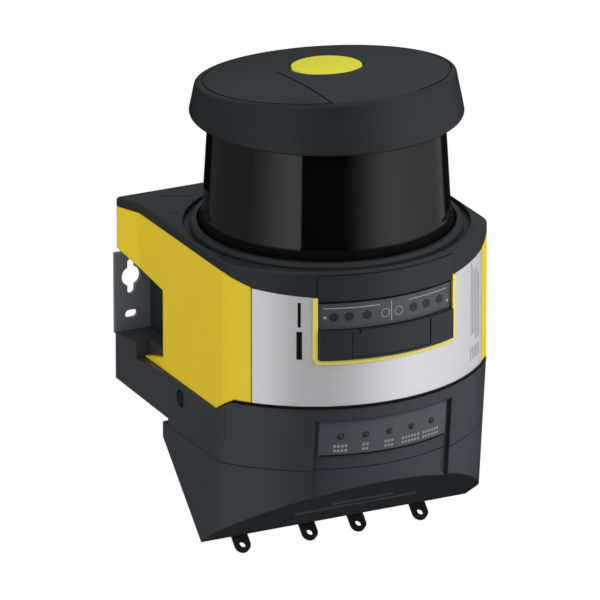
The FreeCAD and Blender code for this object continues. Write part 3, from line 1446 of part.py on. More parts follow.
for side in (-1, 1):
    word = "left" if side < 0 else "right"
    head_bottom = unit_half - size.lock_recess_depth + size.running_gap
    head_top = head_bottom + size.lock_head_height
    turn = FreeCAD.Rotation(FreeCAD.Vector(0, 1, 0), 90 * side)
    place = (dim(side) * head_bottom, size.lock_depth, -size.lock_drop)
    shank_start = (dim(side) * (head_bottom - 8), size.lock_depth, -size.lock_drop)
    head = primitive("Cylinder", f"LockHead{word}", place, turn,
                     Radius=size.lock_head_radius, Height=head_top - head_bottom)
    shank = primitive("Cylinder", f"LockShank{word}", shank_start, turn,
                      Radius=size.lock_shank_radius, Height=dim(8.5))
    low_x = head_top - 1.1 if side > 0 else -head_top - 1
    slot = block(f"LockSlot{word}", (low_x, size.lock_depth - 0.6, -size.lock_drop - 5),
                 (low_x + 2.1, size.lock_depth + 0.6, -size.lock_drop + 5))
    finish(cut(f"LockScrew{word}", fuse(f"LockBody{word}", head, shank), slot),
           f"locking_screw_{word}")


# Inside of the connection unit: socket for the plug, terminal board and the seal round the plug

unit_ceiling = -size.unit_wall - top_gap
jack_bottom = plug_bottom - size.unit_wall
jack_gap = size.plug_clearance * 0.6
jack = cut("UnitJack", plug_block("JackBody", size.unit_wall, jack_bottom, unit_ceiling),
           plug_block("JackHollow", jack_gap, plug_bottom - jack_gap, unit_ceiling + 1))
finish(jack, "unit_socket")

terminal_bottom = jack_bottom - size.board_thickness
terminal_parts = [block("TerminalPlate",
                        (-size.terminal_half_width, -size.terminal_front, terminal_bottom),
                        (size.terminal_half_width, size.terminal_rear, jack_bottom))]
clamp_front = -size.terminal_front + 8
for number in range(-2, 2):
    clamp_left = 20 * number + 3
    terminal_parts.append(block(f"Terminal{number + 2}", (clamp_left, clamp_front, jack_bottom),
                                (clamp_left + 14, clamp_front + 10, jack_bottom + 7)))
terminal_x = size.terminal_half_width - size.post_inset
for number, x in enumerate((-terminal_x, terminal_x)):
    for word, y in (("Front", -size.terminal_front + size.post_inset),
                    ("Rear", size.terminal_rear - size.post_inset)):
        terminal_parts.append(rod(f"Terminal{word}Post{number}", x, y, jack_bottom, unit_ceiling,
                                  size.post_radius))
finish(fuse("TerminalBoard", *terminal_parts), "terminal_board")

gasket_inset = size.plug_clearance + 1.2
gasket_outset = gasket_inset + size.gasket_width
gasket = cut("UnitGasket", plug_block("GasketOuter", gasket_outset, -top_gap, size.fit_gap),
             plug_block("GasketInner", gasket_inset, dim(-2), dim(2)))
finish(gasket, "unit_gasket")


# Wall bracket: a stamped plate behind the unit whose tabs carry keyholes and slots

plate = new_body("WallBracket")
low_half = unit_half - 14
plate_low = -size.unit_rear_height + 3
plate_loop = [
    (-low_half, plate_low),
    (low_half, plate_low),
    (low_half, size.plate_bottom),
    (size.plate_half_width, size.plate_bottom),
    (size.plate_half_width, size.plate_top),
    (-size.plate_half_width, size.plate_top),
    (-size.plate_half_width, size.plate_bottom),
    (-low_half, size.plate_bottom),
]
pad(plate, "XZ_Plane", -size.wall_to_axis, size.plate_thickness, [(plate_loop, {})])


def upright_slot(x, bottom, top, radius):
    return [(x - radius, bottom), (x + radius, bottom), (x + radius, top), (x - radius, top)], \
        {0: radius, 2: radius}


def level_slot(left, right, z, radius):
    return [(left, z - radius), (right, z - radius), (right, z + radius), (left, z + radius)], \
        {1: radius, 3: radius}


def pierce_plate(loops=(), circles=()):
    pocket(plate, "XZ_Plane", -size.wall_to_axis - 1, far, loops, circles, reverse=True)


for side in (-1, 1):
    x = side * size.keyhole_pitch / 2
    reach = size.keyhole_reach
    pierce_plate(circles=[(x, size.keyhole_level, size.keyhole_radius)])
    pierce_plate([upright_slot(x, size.keyhole_level - reach, size.keyhole_level + reach,
                               size.screw_slot_radius)])
    half = size.lower_slot_reach
    pierce_plate([level_slot(x - half, x + half, size.lower_slot_level, size.screw_slot_radius)])
window_half = dim(30.0)
pierce_plate([rectangle(-window_half, size.plate_bottom + 6, window_half, size.plate_top - 8)])
screw_level = -size.unit_rear_height / 2
screw_radius = dim(1.6)
screw_places = (-40, -14, 14, 40)
pierce_plate(circles=[(x, screw_level, screw_radius) for x in screw_places])
finish(plate, "wall_bracket")

screws = []
lie_back = FreeCAD.Rotation(FreeCAD.Vector(1, 0, 0), 90)
for number, x in enumerate(screw_places):
    screws.append(primitive("Cylinder", f"BracketScrew{number}", (x, size.wall_to_axis, screw_level),
                            lie_back, Radius=screw_radius, Height=size.plate_thickness))
bracket_screws = doc.addObject("Part::Compound", "BracketScrews")
bracket_screws.Links = screws
finish(bracket_screws, "bracket_screws")


# Check every object, then write one file for each piece

doc.recompute()
doc.recompute()
faults = []
for thing in doc.Objects:
    if "Invalid" in thing.State or "Error" in thing.State:
        faults.append(f"{thing.Name} {thing.Label} {thing.State}")
for thing in finished:
    if thing.Shape.isNull() or not thing.Shape.isValid() or not thing.Shape.Solids:
        faults.append(f"{thing.Label} has no valid solid")
if faults:
    raise RuntimeError("; ".join(faults))

os.makedirs("parts", exist_ok=True)
for thing in finished:
    thing.Shape.exportStep(f"parts/{thing.Label}.step")
    print(thing.Label, len(thing.Shape.Solids), round(thing.Shape.Volume, 1))
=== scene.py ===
import math

import bmesh
import bpy
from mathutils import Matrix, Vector


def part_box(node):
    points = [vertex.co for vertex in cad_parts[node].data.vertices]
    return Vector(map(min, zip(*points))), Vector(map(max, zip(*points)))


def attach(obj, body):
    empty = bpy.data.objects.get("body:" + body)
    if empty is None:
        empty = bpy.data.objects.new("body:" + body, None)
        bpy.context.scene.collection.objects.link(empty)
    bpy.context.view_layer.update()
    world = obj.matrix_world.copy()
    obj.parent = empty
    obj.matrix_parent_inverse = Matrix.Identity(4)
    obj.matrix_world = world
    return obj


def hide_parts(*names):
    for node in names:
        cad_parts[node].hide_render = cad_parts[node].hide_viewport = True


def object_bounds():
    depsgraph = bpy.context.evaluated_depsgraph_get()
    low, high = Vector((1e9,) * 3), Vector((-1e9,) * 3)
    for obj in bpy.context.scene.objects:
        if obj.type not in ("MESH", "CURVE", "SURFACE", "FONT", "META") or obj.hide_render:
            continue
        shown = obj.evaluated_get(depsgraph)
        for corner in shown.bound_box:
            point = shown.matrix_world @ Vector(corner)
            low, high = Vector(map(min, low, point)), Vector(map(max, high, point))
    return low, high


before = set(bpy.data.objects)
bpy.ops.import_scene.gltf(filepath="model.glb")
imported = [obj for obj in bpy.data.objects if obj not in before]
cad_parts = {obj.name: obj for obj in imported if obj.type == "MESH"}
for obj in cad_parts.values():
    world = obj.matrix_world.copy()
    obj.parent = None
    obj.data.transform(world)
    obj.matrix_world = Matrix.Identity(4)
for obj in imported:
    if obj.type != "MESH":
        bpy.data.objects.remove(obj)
cad_low, cad_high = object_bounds()


# Wall bracket
# A stamped plate of 2 mm sheet steel behind the unit, with keyholes and slots in its side tabs.
# It is painted grey after stamping, and four small zinc-plated screws hold it to the unit.

class Wire:
    """A value in a material. Sums and products of wires add the Math nodes that work them out."""

    def __init__(self, tree, socket=None):
        self.tree = tree
        self.socket = socket

    def node(self, kind, settings=None, inputs=None, output=0):
        """Add any node: settings first, then the values or links of its sockets."""
        made = self.tree.nodes.new("ShaderNode" + kind)
        for name, value in (settings or {}).items():
            setattr(made, name, value)
        for name, value in (inputs or {}).items():
            if isinstance(value, Wire):
                self.tree.links.new(value.socket, made.inputs[name])
            else:
                made.inputs[name].default_value = value
        return Wire(self.tree, made.outputs[output] if len(made.outputs) else None)

    def maths(self, operation, *values):
        """Add a Math node by its operation's name."""
        return self.node("Math", {"operation": operation}, dict(enumerate(values)))

    def __add__(self, other):
        return self.maths("ADD", self, other)

    def __rsub__(self, other):
        return self.maths("SUBTRACT", other, self)

    def __mul__(self, other):
        return self.maths("MULTIPLY", self, other)

    def __rmul__(self, other):
        return self.maths("MULTIPLY", other, self)


def tone(red, green, blue):
    """A colour as a paint chart gives it, 0 to 255, turned into light."""
    light = []
    for share in (red / 255, green / 255, blue / 255):
        light.append(share / 12.92 if share < 0.04045 else ((share + 0.055) / 1.055) ** 2.4)
    return tuple(light + [1.0])


def begin(name):
    """Start a material; the wire it gives carries the place on the piece, in metres."""
    material = bpy.data.materials.new(name)
    material.use_nodes = True
    material.node_tree.nodes.clear()
    return Wire(material.node_tree).node("TexCoord", output="Object")


def noise(at, waves, detail=3.0, rough=0.55):
    """Fine mottling between 0 and 1, with so many waves in a metre."""
    return at.node("TexNoise", None, {
        "Vector": at, "Scale": waves, "Detail": detail, "Roughness": rough})


def mix_tone(mask, first, second):
    """The first colour where the mask is 0, and the second where it is 1."""
    return mask.node("Mix", {"data_type": "RGBA"}, {0: mask, 6: first, 7: second}, output=2)


def between(value, low, high, start=0.0, end=1.0):
    """Turn a range of a value into another range, with soft ends."""
    return value.node("MapRange", {"interpolation_type": "SMOOTHSTEP"}, {
        "Value": value, "From Min": low, "From Max": high, "To Min": start, "To Max": end})


EDGE_BREAK = 0.0003


def relief(at, height, depth, edge=EDGE_BREAK):
    """A surface normal from a height map, on edges that are broken by a small radius."""
    corner = at.node("Bevel", {"samples": 4}, {"Radius": edge})
    return at.node("Bump", None, {
        "Height": height, "Distance": depth, "Strength": 1.0, "Normal": corner})


def close(at, sockets):
    """End a material with its shader."""
    shader = at.node("BsdfPrincipled", None, sockets)
    at.node("OutputMaterial", None, {"Surface": shader})


def dress(material_name, *nodes):
    """Give pieces of the frame a material."""
    for node in nodes:
        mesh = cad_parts[node].data
        mesh.materials.clear()
        mesh.materials.append(bpy.data.materials[material_name])


def painted_metal(name, dark, light, roughness, peel_depth, edge=EDGE_BREAK):
    """Paint sprayed on metal: a fine orange peel, with a few dull and bright patches."""
    at = begin(name)
    peel = noise(at, waves=2600.0, detail=2.0)
    cloud = noise(at, waves=40.0, detail=4.0)
    close(at, {
        "Base Color": mix_tone(cloud, dark, light),
        "Roughness": between(cloud, 0.2, 0.8, roughness - 0.05, roughness + 0.06),
        "Normal": relief(at, peel, peel_depth, edge),
    })


painted_metal("bracket_paint", tone(104, 109, 115), tone(118, 123, 129),
              roughness=0.45, peel_depth=0.00002)

# Its side tabs reach down to the connection unit, so their lower edge is drawn longer here.
MM = 0.001
SLACK = 0.1 * MM
TAB_EDGE = -6.3 * MM
TAB_REACH = 2.2 * MM


def merged_copy(node):
    """A copy of a piece of the frame, whose loose triangles are joined."""
    mesh = bmesh.new()
    mesh.from_mesh(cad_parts[node].data)
    bmesh.ops.remove_doubles(mesh, verts=mesh.verts, dist=1e-6)
    return mesh


def add_piece(name, mesh, material_name):
    """Turn a mesh under construction into a piece at the origin, with its material."""
    data = bpy.data.meshes.new(name)
    mesh.to_mesh(data)
    mesh.free()
    data.materials.append(bpy.data.materials[material_name])
    piece = bpy.data.objects.new(name, data)
    bpy.context.scene.collection.objects.link(piece)
    return piece


bracket_mesh = merged_copy("wall_bracket")
for vertex in bracket_mesh.verts:
    if abs(vertex.co.z - TAB_EDGE) < SLACK:
        vertex.co.z -= TAB_REACH
bracket = add_piece("long_wall_bracket", bracket_mesh, "bracket_paint")
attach(bracket, "connection_unit")
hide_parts("wall_bracket")


def stretched(at, stretch):
    """The place on the piece, with each axis drawn out for a pattern of lines."""
    return at.node("Mapping", None, {"Vector": at, "Scale": stretch})


def plain_metal(name, dark, light, roughness, waves, stretch=(1.0, 1.0, 1.0)):
    """Bare metal with the marks of its tool, which lie across the axis with the largest number."""
    at = begin(name)
    lines = noise(stretched(at, stretch), waves, detail=4.0, rough=0.6)
    close(at, {
        "Base Color": mix_tone(lines, dark, light),
        "Metallic": 1.0,
        "Roughness": between(lines, 0.2, 0.8, roughness - 0.07, roughness + 0.08),
        "Normal": relief(at, lines, depth=0.00001, edge=0.0001),
    })


plain_metal("zinc_plate", tone(150, 151, 150), tone(196, 196, 192), roughness=0.32, waves=600.0)
dress("zinc_plate", "bracket_screws")


# Connection unit
# Two die-cast halves with a fine-grained charcoal paint, parted by a narrow joint.
# The scanner sits on top, and the plugs leave at the sloping rear underside.

painted_metal("unit_paint", tone(47, 50, 57), tone(55, 58, 65),
              roughness=0.4, peel_depth=0.00003, edge=0.0009)
dress("unit_paint", "connection_case", "connection_lower_case")


# Connectors and dust caps
# Nickel-plated threaded connectors with a flange, each under a moulded cap of black soft plastic.
# A short strap with a pull loop hangs from every cap below the ridge of the unit.

CONNECTORS = range(1, 5)

plain_metal("nickel_plate", tone(140, 138, 132), tone(178, 176, 168), roughness=0.3, waves=900.0)
for number in CONNECTORS:
    dress("nickel_plate", f"connector_{number}")


def moulded(name, dark, light, roughness, grain, depth, shine=0.5, edge=EDGE_BREAK, clouds=28.0):
    """Moulded plastic or rubber with an even fine grain from its tool."""
    at = begin(name)
    fine = noise(at, waves=grain, detail=2.0)
    cloud = noise(at, waves=clouds, detail=3.0)
    close(at, {
        "Base Color": mix_tone(cloud, dark, light),
        "Roughness": between(fine, 0.25, 0.75, roughness - 0.05, roughness + 0.05),
        "Specular IOR Level": shine,
        "Normal": relief(at, fine, depth, edge),
    })


moulded("cap_soft_plastic", tone(26, 27, 29), tone(34, 35, 37),
        roughness=0.55, grain=1800.0, depth=0.00003)
for number in CONNECTORS:
    dress("cap_soft_plastic", f"dust_cap_{number}")


# Status panel and its lights
# A printed film in the recess of the leaning front, with five small lights behind round holes.
# Rows of small printed blocks stand under the lights in place of words.

moulded("printed_film", tone(67, 70, 77), tone(75, 78, 85),
        roughness=0.34, grain=2400.0, depth=0.00001)
dress("printed_film", "status_panel")
moulded("lamp_lens", tone(34, 35, 36), tone(44, 45, 46), roughness=0.4, grain=900.0, depth=0.00001)
for number in range(1, 6):
    dress("lamp_lens", f"status_light_{number}")
moulded("print_grey", tone(128, 130, 134), tone(142, 144, 148),
        roughness=0.5, grain=1200.0, depth=0.000004)
# Black for printed marks, and for painted shade along the gaps at the film and the strip.
moulded("black_print_and_painted_shade", tone(10, 10, 12), tone(16, 16, 18),
        roughness=0.7, grain=1200.0, depth=0.000004, shine=0.15)

# Marks on the front are given in millimetres: X from the middle and Z from the seam between the
# scanner and the connection unit. The front is part of a cylinder, which leans below the seam.
AXIS_DEPTH = -72.5
SEAM_HEIGHT = -7.6
FRONT_CENTRE = 13.3
FRONT_RADIUS = 81.3
UNIT_STEP = 0.6
UNIT_LEAN = 0.1
PANEL_DEPTH = 2.0
PANEL_RADIUS = FRONT_RADIUS - PANEL_DEPTH + UNIT_STEP
PRINT_THICKNESS = 0.06
BAR_STEP = 1.5


def thicken(mesh, corners, thickness):
    """Give a flat mark its thickness, away from the front."""
    faces = list(dict.fromkeys(face for corner in corners for face in corner.link_faces))
    grown = bmesh.ops.extrude_face_region(mesh, geom=faces)["geom"]
    for item in grown:
        if isinstance(item, bmesh.types.BMVert):
            item.co.y += thickness


def add_bar(mesh, x, z, width, height):
    """A flat bar, cut into short lengths so that it can follow a curve."""
    steps = max(1, int(width / BAR_STEP))
    corners = bmesh.ops.create_grid(mesh, x_segments=steps, y_segments=1, size=0.5)["verts"]
    for corner in corners:
        corner.co = Vector((x + corner.co.x * width, 0.0, z + corner.co.y * height))
    thicken(mesh, corners, PRINT_THICKNESS)


def place_on_front(mesh, radius, lean=0.0):
    """Bend a flat pattern of the X and Z plane onto the curved front, in the place it has there."""
    for vertex in mesh.verts:
        x, lift, z = vertex.co
        y = FRONT_CENTRE - lean * z - math.sqrt((radius + lift) ** 2 - x * x)
        vertex.co = Vector((x, y + AXIS_DEPTH, z + SEAM_HEIGHT)) * MM


def build(name, mesh, body, material_name):
    """Close a mesh of marks and make it a piece of a body."""
    bmesh.ops.remove_doubles(mesh, verts=mesh.verts, dist=1e-7)
    bmesh.ops.recalc_face_normals(mesh, faces=mesh.faces)
    piece = add_piece(name, mesh, material_name)
    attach(piece, body)


LIGHT_PITCH = 11.7
BLOCK_ROWS = (-20.9, -23.2)
BLOCK_COUNTS = (4, 2, 3, 6, 6)
BLOCK_PITCH = 1.7
BLOCK_WIDTH = 1.25
BLOCK_HEIGHT = 1.3


def add_blocks(mesh, x, z, count):
    """A row of small blocks in place of a printed word."""
    for place in range(count):
        add_bar(mesh, x + BLOCK_PITCH * (place - (count - 1) / 2), z, BLOCK_WIDTH, BLOCK_HEIGHT)


panel_print = bmesh.new()
for number, count in enumerate(BLOCK_COUNTS):
    for row in BLOCK_ROWS:
        add_blocks(panel_print, LIGHT_PITCH * (number - 2), row, count)
place_on_front(panel_print, PANEL_RADIUS, UNIT_LEAN)
build("status_panel_print", panel_print, "connection_unit", "print_grey")

panel_low, panel_high = [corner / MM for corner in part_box("status_panel")]
# A black bar along the film's lower edge is painted shade, the shadow of the gap between the film
# and the ridge below.
panel_shadow_bar = bmesh.new()
add_bar(panel_shadow_bar, x=0.0, z=panel_low.z - SEAM_HEIGHT + 0.6,
        width=2 * panel_high.x - 1.0, height=0.8)
place_on_front(panel_shadow_bar, PANEL_RADIUS, UNIT_LEAN)
build("status_panel_painted_shadow", panel_shadow_bar, "connection_unit", "black_print_and_painted_shade")


# Seam shadow
# A thin black strip along the joint between the scanner and the connection unit in front.
# It is painted shade of the narrow gap there, and it rides on the connection unit.

# Black of the rubber seals inside, and of the painted shade along the front joint.
moulded("black_seal_and_painted_shade", tone(8, 8, 9), tone(14, 14, 15),
        roughness=0.8, grain=1400.0, depth=0.00003, shine=0.1)
UNIT_RADIUS = FRONT_RADIUS + UNIT_STEP
painted_seam_shadow = bmesh.new()
add_bar(painted_seam_shadow, x=0.0, z=-0.55, width=132.0, height=1.0)
place_on_front(painted_seam_shadow, UNIT_RADIUS, UNIT_LEAN)
build("painted_seam_shadow", painted_seam_shadow, "connection_unit", "black_seal_and_painted_shade")


# Locking screws
# Blackened steel heads with a slot that sit deep in round recesses in the sides of the
# connection unit. A quarter turn locks the scanner to it.

painted_metal("blackened_steel", tone(20, 20, 22), tone(32, 32, 34),
              roughness=0.4, peel_depth=0.00001)
dress("blackened_steel", "locking_screw_left", "locking_screw_right")


# Inside of the connection unit
# A socket and a gasket for the scanner's plug, and the terminal board on its posts.
# The other black mouldings, the window's seal and the scanner's own boards share their finishes.

moulded("black_moulding", tone(28, 28, 30), tone(36, 36, 38),
        roughness=0.5, grain=1600.0, depth=0.00002)
dress("black_moulding", "unit_socket", "unit_plug", "service_socket", "encoder_sensor")
dress("black_seal_and_painted_shade", "unit_gasket", "window_seal")


def circuit_board(name):
    """Green solder resist over copper tracks."""
    at = begin(name)
    tracks = at.node("TexBrick", {"offset": 0.5}, {
        "Vector": at, "Scale": 160.0, "Mortar Size": 0.03, "Color1": tone(16, 84, 46),
        "Color2": tone(20, 92, 52), "Mortar": tone(64, 128, 70)})
    patches = noise(at, waves=130.0, detail=2.0)
    close(at, {
        "Base Color": mix_tone(between(patches, 0.35, 0.65), tracks, tone(14, 74, 42)),
        "Roughness": between(patches, 0.3, 0.7, 0.3, 0.45),
        "Normal": relief(at, patches, depth=0.00003, edge=0.0001),
    })


circuit_board("solder_resist")
dress("solder_resist", "terminal_board", "main_board", "receiver_board")


# Inner housing
# The die-cast tub that carries everything in the scanner, coated nearly black.
# It shows in the side recesses beside the screw tabs.

painted_metal("housing_coat", tone(30, 31, 33), tone(40, 41, 43), roughness=0.5, peel_depth=0.00004)
dress("housing_coat", "inner_housing")


# Receiver optics
# A black anodised tube with a coated glass lens, and the steel tube of the laser in its middle.
# The rotor's shaft and bearings and the flap's pin are turned from the same steel.

moulded("anodised_black", tone(14, 14, 15), tone(20, 20, 21),
        roughness=0.6, grain=2000.0, depth=0.00002)
dress("anodised_black", "lens_tube")
plain_metal("turned_steel", tone(150, 150, 152), tone(188, 188, 190),
            roughness=0.28, waves=700.0, stretch=(1.0, 1.0, 12.0))
dress("turned_steel", "laser_tube", "rotor_shaft", "upper_bearing", "lower_bearing", "flap_pin")
lens_at = begin("coated_glass")
bloom = noise(lens_at, waves=30.0, detail=2.0)
close(lens_at, {
    "Base Color": mix_tone(bloom, tone(206, 220, 232), tone(222, 214, 236)),
    "Roughness": between(bloom, 0.3, 0.7, 0.01, 0.03),
    "Transmission Weight": 1.0,
    "IOR": 1.52,
})
dress("coated_glass", "receiver_lens")


# Side covers
# Two shells of yellow plastic that hook over the inner housing and reach down over the
# connection unit. Their tool leaves a fine even grain.

moulded("yellow_moulding", tone(240, 207, 28), tone(246, 214, 38),
        roughness=0.34, grain=2200.0, depth=0.000015, edge=0.0009)
dress("yellow_moulding", "side_cover_left", "side_cover_right")


# Front band
# Thin stainless sheet bent to the curve of the front, brushed level, with the opening for the port.
# Plain bars stand on it in place of printed words.

brushed_at = begin("brushed_band")
streaks = noise(stretched(brushed_at, (20.0, 20.0, 900.0)), waves=6.0, detail=5.0, rough=0.65)
close(brushed_at, {
    "Base Color": mix_tone(streaks, tone(240, 240, 242), tone(250, 250, 252)),
    "Metallic": 0.6,
    "Roughness": between(streaks, 0.25, 0.75, 0.34, 0.5),
    "Normal": relief(brushed_at, streaks, depth=0.000006, edge=0.0002),
})
dress("brushed_band", "front_band")

band_print = bmesh.new()
add_bar(band_print, x=-42.2, z=30.2, width=2.2, height=13.6)
add_bar(band_print, x=-42.2, z=45.2, width=1.2, height=12.0)
place_on_front(band_print, FRONT_RADIUS)
build("band_print", band_print, "scan_unit", "black_print_and_painted_shade")

FINE_LEFT = 49.2
FINE_PITCH = 1.4
FINE_WIDTH = 0.5
moulded("print_fine", tone(150, 150, 154), tone(166, 166, 170),
        roughness=0.5, grain=1200.0, depth=0.000004)
fine_print = bmesh.new()
for place in range(6):
    fine_x = FINE_LEFT + FINE_PITCH * place
    add_bar(fine_print, fine_x, 36.0 - place, FINE_WIDTH, height=36.0 - 2.5 * (place % 3))
    add_bar(fine_print, fine_x, 9.0, FINE_WIDTH, height=7.0 - 1.5 * (place % 2))
place_on_front(fine_print, FRONT_RADIUS)
build("band_fine_print", fine_print, "scan_unit", "print_fine")


# Service port
# A yellow bead frames the opening. Inside it lie the smoked indicator strip, the trim above it and
# the cover with the flap in front of the service socket.

moulded("bead_moulding", tone(228, 212, 96), tone(236, 220, 108),
        roughness=0.24, grain=1800.0, depth=0.000006, edge=0.0006)
dress("bead_moulding", "port_bead")
moulded("smoked_strip", tone(66, 68, 73), tone(74, 76, 81),
        roughness=0.3, grain=1500.0, depth=0.000006)
dress("smoked_strip", "indicator_strip")
moulded("dark_moulding", tone(34, 36, 41), tone(41, 43, 48),
        roughness=0.46, grain=1700.0, depth=0.00003)
dress("dark_moulding", "indicator_hood", "service_cover", "service_flap")


def add_disc(mesh, x, z, radius, thickness=PRINT_THICKNESS, segments=24):
    """A flat round mark."""
    made = bmesh.ops.create_circle(mesh, cap_ends=True, radius=radius, segments=segments)
    for corner in made["verts"]:
        corner.co = Vector((x + corner.co.x, 0.0, z + corner.co.y))
    thicken(mesh, made["verts"], thickness)


def add_hoop(mesh, x, z, radius, width, segments=32):
    """A flat ring: a disc whose two faces are inset, opened and joined by an inner wall."""
    before = set(mesh.verts)
    add_disc(mesh, x, z, radius, segments=segments)
    caps = [face for face in mesh.faces
            if set(face.verts).isdisjoint(before) and len(face.verts) == segments]
    bmesh.ops.inset_region(mesh, faces=caps, thickness=width, use_even_offset=True)
    bmesh.ops.bridge_loops(mesh, edges=[edge for face in caps for edge in face.edges])
    bmesh.ops.delete(mesh, geom=caps, context="FACES_ONLY")


STRIP_DEPTH = 0.9
STRIP_RADIUS = FRONT_RADIUS - STRIP_DEPTH
LAMP_THICKNESS = 0.12
moulded("print_white", tone(150, 152, 156), tone(164, 166, 170),
        roughness=0.5, grain=1200.0, depth=0.000004)
strip_print = bmesh.new()
add_bar(strip_print, x=-18.9, z=48.0, width=26.0, height=0.45)
add_bar(strip_print, x=20.0, z=48.0, width=22.5, height=0.45)
add_bar(strip_print, x=-0.2, z=44.3, width=0.45, height=9.6)
for mark_x in (-3.2, 3.6):
    add_hoop(strip_print, mark_x, z=43.6, radius=2.2, width=0.3)
for dot_x, dot_z in ((-31.3, 43.6), (31.8, 41.6)):
    add_disc(strip_print, dot_x, dot_z, radius=0.7)
place_on_front(strip_print, STRIP_RADIUS)
build("indicator_print", strip_print, "scan_unit", "print_white")

# A black bar along the strip's top edge is painted shadow, cast on the strip by the trim above it.
strip_shadow_bar = bmesh.new()
add_bar(strip_shadow_bar, x=0.0, z=50.9, width=68.0, height=1.0)
place_on_front(strip_shadow_bar, STRIP_RADIUS)
build("indicator_painted_shadow", strip_shadow_bar, "scan_unit", "black_print_and_painted_shade")

indicator_lamps = bmesh.new()
for lamp_x in (-27.4, -20.6, -12.2, 11.6, 18.9, 27.0):
    add_disc(indicator_lamps, lamp_x, z=43.8, radius=2.3, thickness=LAMP_THICKNESS, segments=6)
place_on_front(indicator_lamps, STRIP_RADIUS)
build("indicator_lamps", indicator_lamps, "scan_unit", "lamp_lens")


# Deck cover
# The charcoal moulded lid of the housing, whose raised lip holds the window. Its edge falls along
# the sides and turns level above the front band.

moulded("deck_moulding", tone(30, 33, 37), tone(38, 41, 45),
        roughness=0.49, grain=1700.0, depth=0.00003, edge=0.0005, clouds=26.0)
dress("deck_moulding", "deck_cover")


# Window
# A polished black cone that only infrared light passes, moulded in one piece with its flared foot.
# It stands on a rubber seal in the deck cover, and its foot is left matt.

FOOT_HEIGHT = 6.0 * MM
FOOT_FADE = 1.5 * MM
window_at = begin("window_black")
window_haze = noise(window_at, waves=60.0, detail=3.0)
polished = window_at.node("BsdfPrincipled", None, {
    "Base Color": mix_tone(window_haze, tone(6, 6, 7), tone(10, 10, 11)),
    "Roughness": between(window_haze, 0.3, 0.7, 0.02, 0.05),
    "IOR": 1.52,
})
foot_black = window_at.node("BsdfPrincipled", None, {
    "Base Color": mix_tone(window_haze, tone(5, 5, 6), tone(9, 9, 10)),
    "Roughness": 0.7,
    "Specular IOR Level": 0.1,
})
window_height = window_at.node("SeparateXYZ", None, {"Vector": window_at}, output="Z")
foot_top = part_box("scanner_window")[0].z + FOOT_HEIGHT
foot_mask = between(window_height, foot_top - FOOT_FADE, foot_top, 1.0, 0.0)
window_at.node("OutputMaterial", None, {
    "Surface": window_at.node("MixShader", None, {0: foot_mask, 1: polished, 2: foot_black})})
dress("window_black", "scanner_window")


# Motor and rotor
# The aluminium motor plate closes the window at the top. Below it hangs the turned carrier with the
# mirror at 45 degrees and the black encoder disc; the magnet and the wound stator lie above.

plain_metal("turned_aluminium", tone(150, 151, 154), tone(190, 191, 194),
            roughness=0.34, waves=500.0, stretch=(1.0, 1.0, 10.0))
dress("turned_aluminium", "motor_plate", "mirror_carrier")
painted_metal("stator_varnish", tone(52, 44, 40), tone(70, 58, 50),
              roughness=0.35, peel_depth=0.00006)
dress("stator_varnish", "motor_stator")
plain_metal("magnet_nickel", tone(110, 110, 112), tone(140, 140, 142), roughness=0.35, waves=400.0)
dress("magnet_nickel", "motor_magnet")
encoder_at = begin("encoder_film")
film_grain = noise(encoder_at, waves=900.0, detail=1.0, rough=0.5)
close(encoder_at, {
    "Base Color": mix_tone(film_grain, tone(16, 16, 18), tone(30, 30, 34)),
    "Roughness": between(film_grain, 0.3, 0.7, 0.2, 0.35),
})
dress("encoder_film", "encoder_disc")
mirror_at = begin("mirror_coat")
dust = noise(mirror_at, waves=300.0, detail=4.0)
close(mirror_at, {
    "Base Color": mix_tone(dust, tone(236, 236, 232), tone(244, 244, 240)),
    "Metallic": 1.0,
    "Roughness": between(dust, 0.4, 0.8, 0.02, 0.06),
})
dress("mirror_coat", "rotating_mirror")


# Cap and disc
# The charcoal moulded cap over the motor, with its swirl of fine grooves and a seat in its crown.
# A yellow moulded disc is pressed into the seat and lies nearly flush with the crown.

moulded("cap_moulding", tone(24, 27, 31), tone(32, 35, 39),
        roughness=0.45, grain=1500.0, depth=0.00003)
dress("cap_moulding", "top_cap")
moulded("disc_moulding", tone(212, 208, 36), tone(220, 216, 46),
        roughness=0.36, grain=2000.0, depth=0.00001)

# The crown is part of a large ball whose top lies in front of the scan axis. The disc's face is
# set anew here as a shallow dome that lies square to the crown.
CROWN_OFFSET = 42.0
CROWN_RADIUS = 366.0
CROWN_TILT = math.asin(CROWN_OFFSET / CROWN_RADIUS)
DISC_RADIUS = 16.5 * MM
DISC_RIM = 1.7 * MM
DISC_DOME = 0.5 * MM
scan_axis = Vector((0.0, AXIS_DEPTH * MM, 0.0))
disc_axis = Vector((0.0, math.sin(CROWN_TILT), math.cos(CROWN_TILT)))
disc_mesh = merged_copy("cap_disc")
disc_floor = min(vertex.co.dot(disc_axis) for vertex in disc_mesh.verts)
for vertex in disc_mesh.verts:
    height = vertex.co.dot(disc_axis) - disc_floor
    if height > SLACK:
        reach = (vertex.co - scan_axis).cross(disc_axis).length / DISC_RADIUS
        vertex.co += disc_axis * (DISC_RIM + DISC_DOME * (1.0 - reach * reach) - height)
disc = add_piece("flush_disc", disc_mesh, "disc_moulding")
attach(disc, "scan_unit")
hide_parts("cap_disc")


# Studio
# A white floor well below the part, soft lamps and a long lens, as for a catalogue picture.
# The camera sees the floor as plain white and gloss looks through it. To other light it is matt.

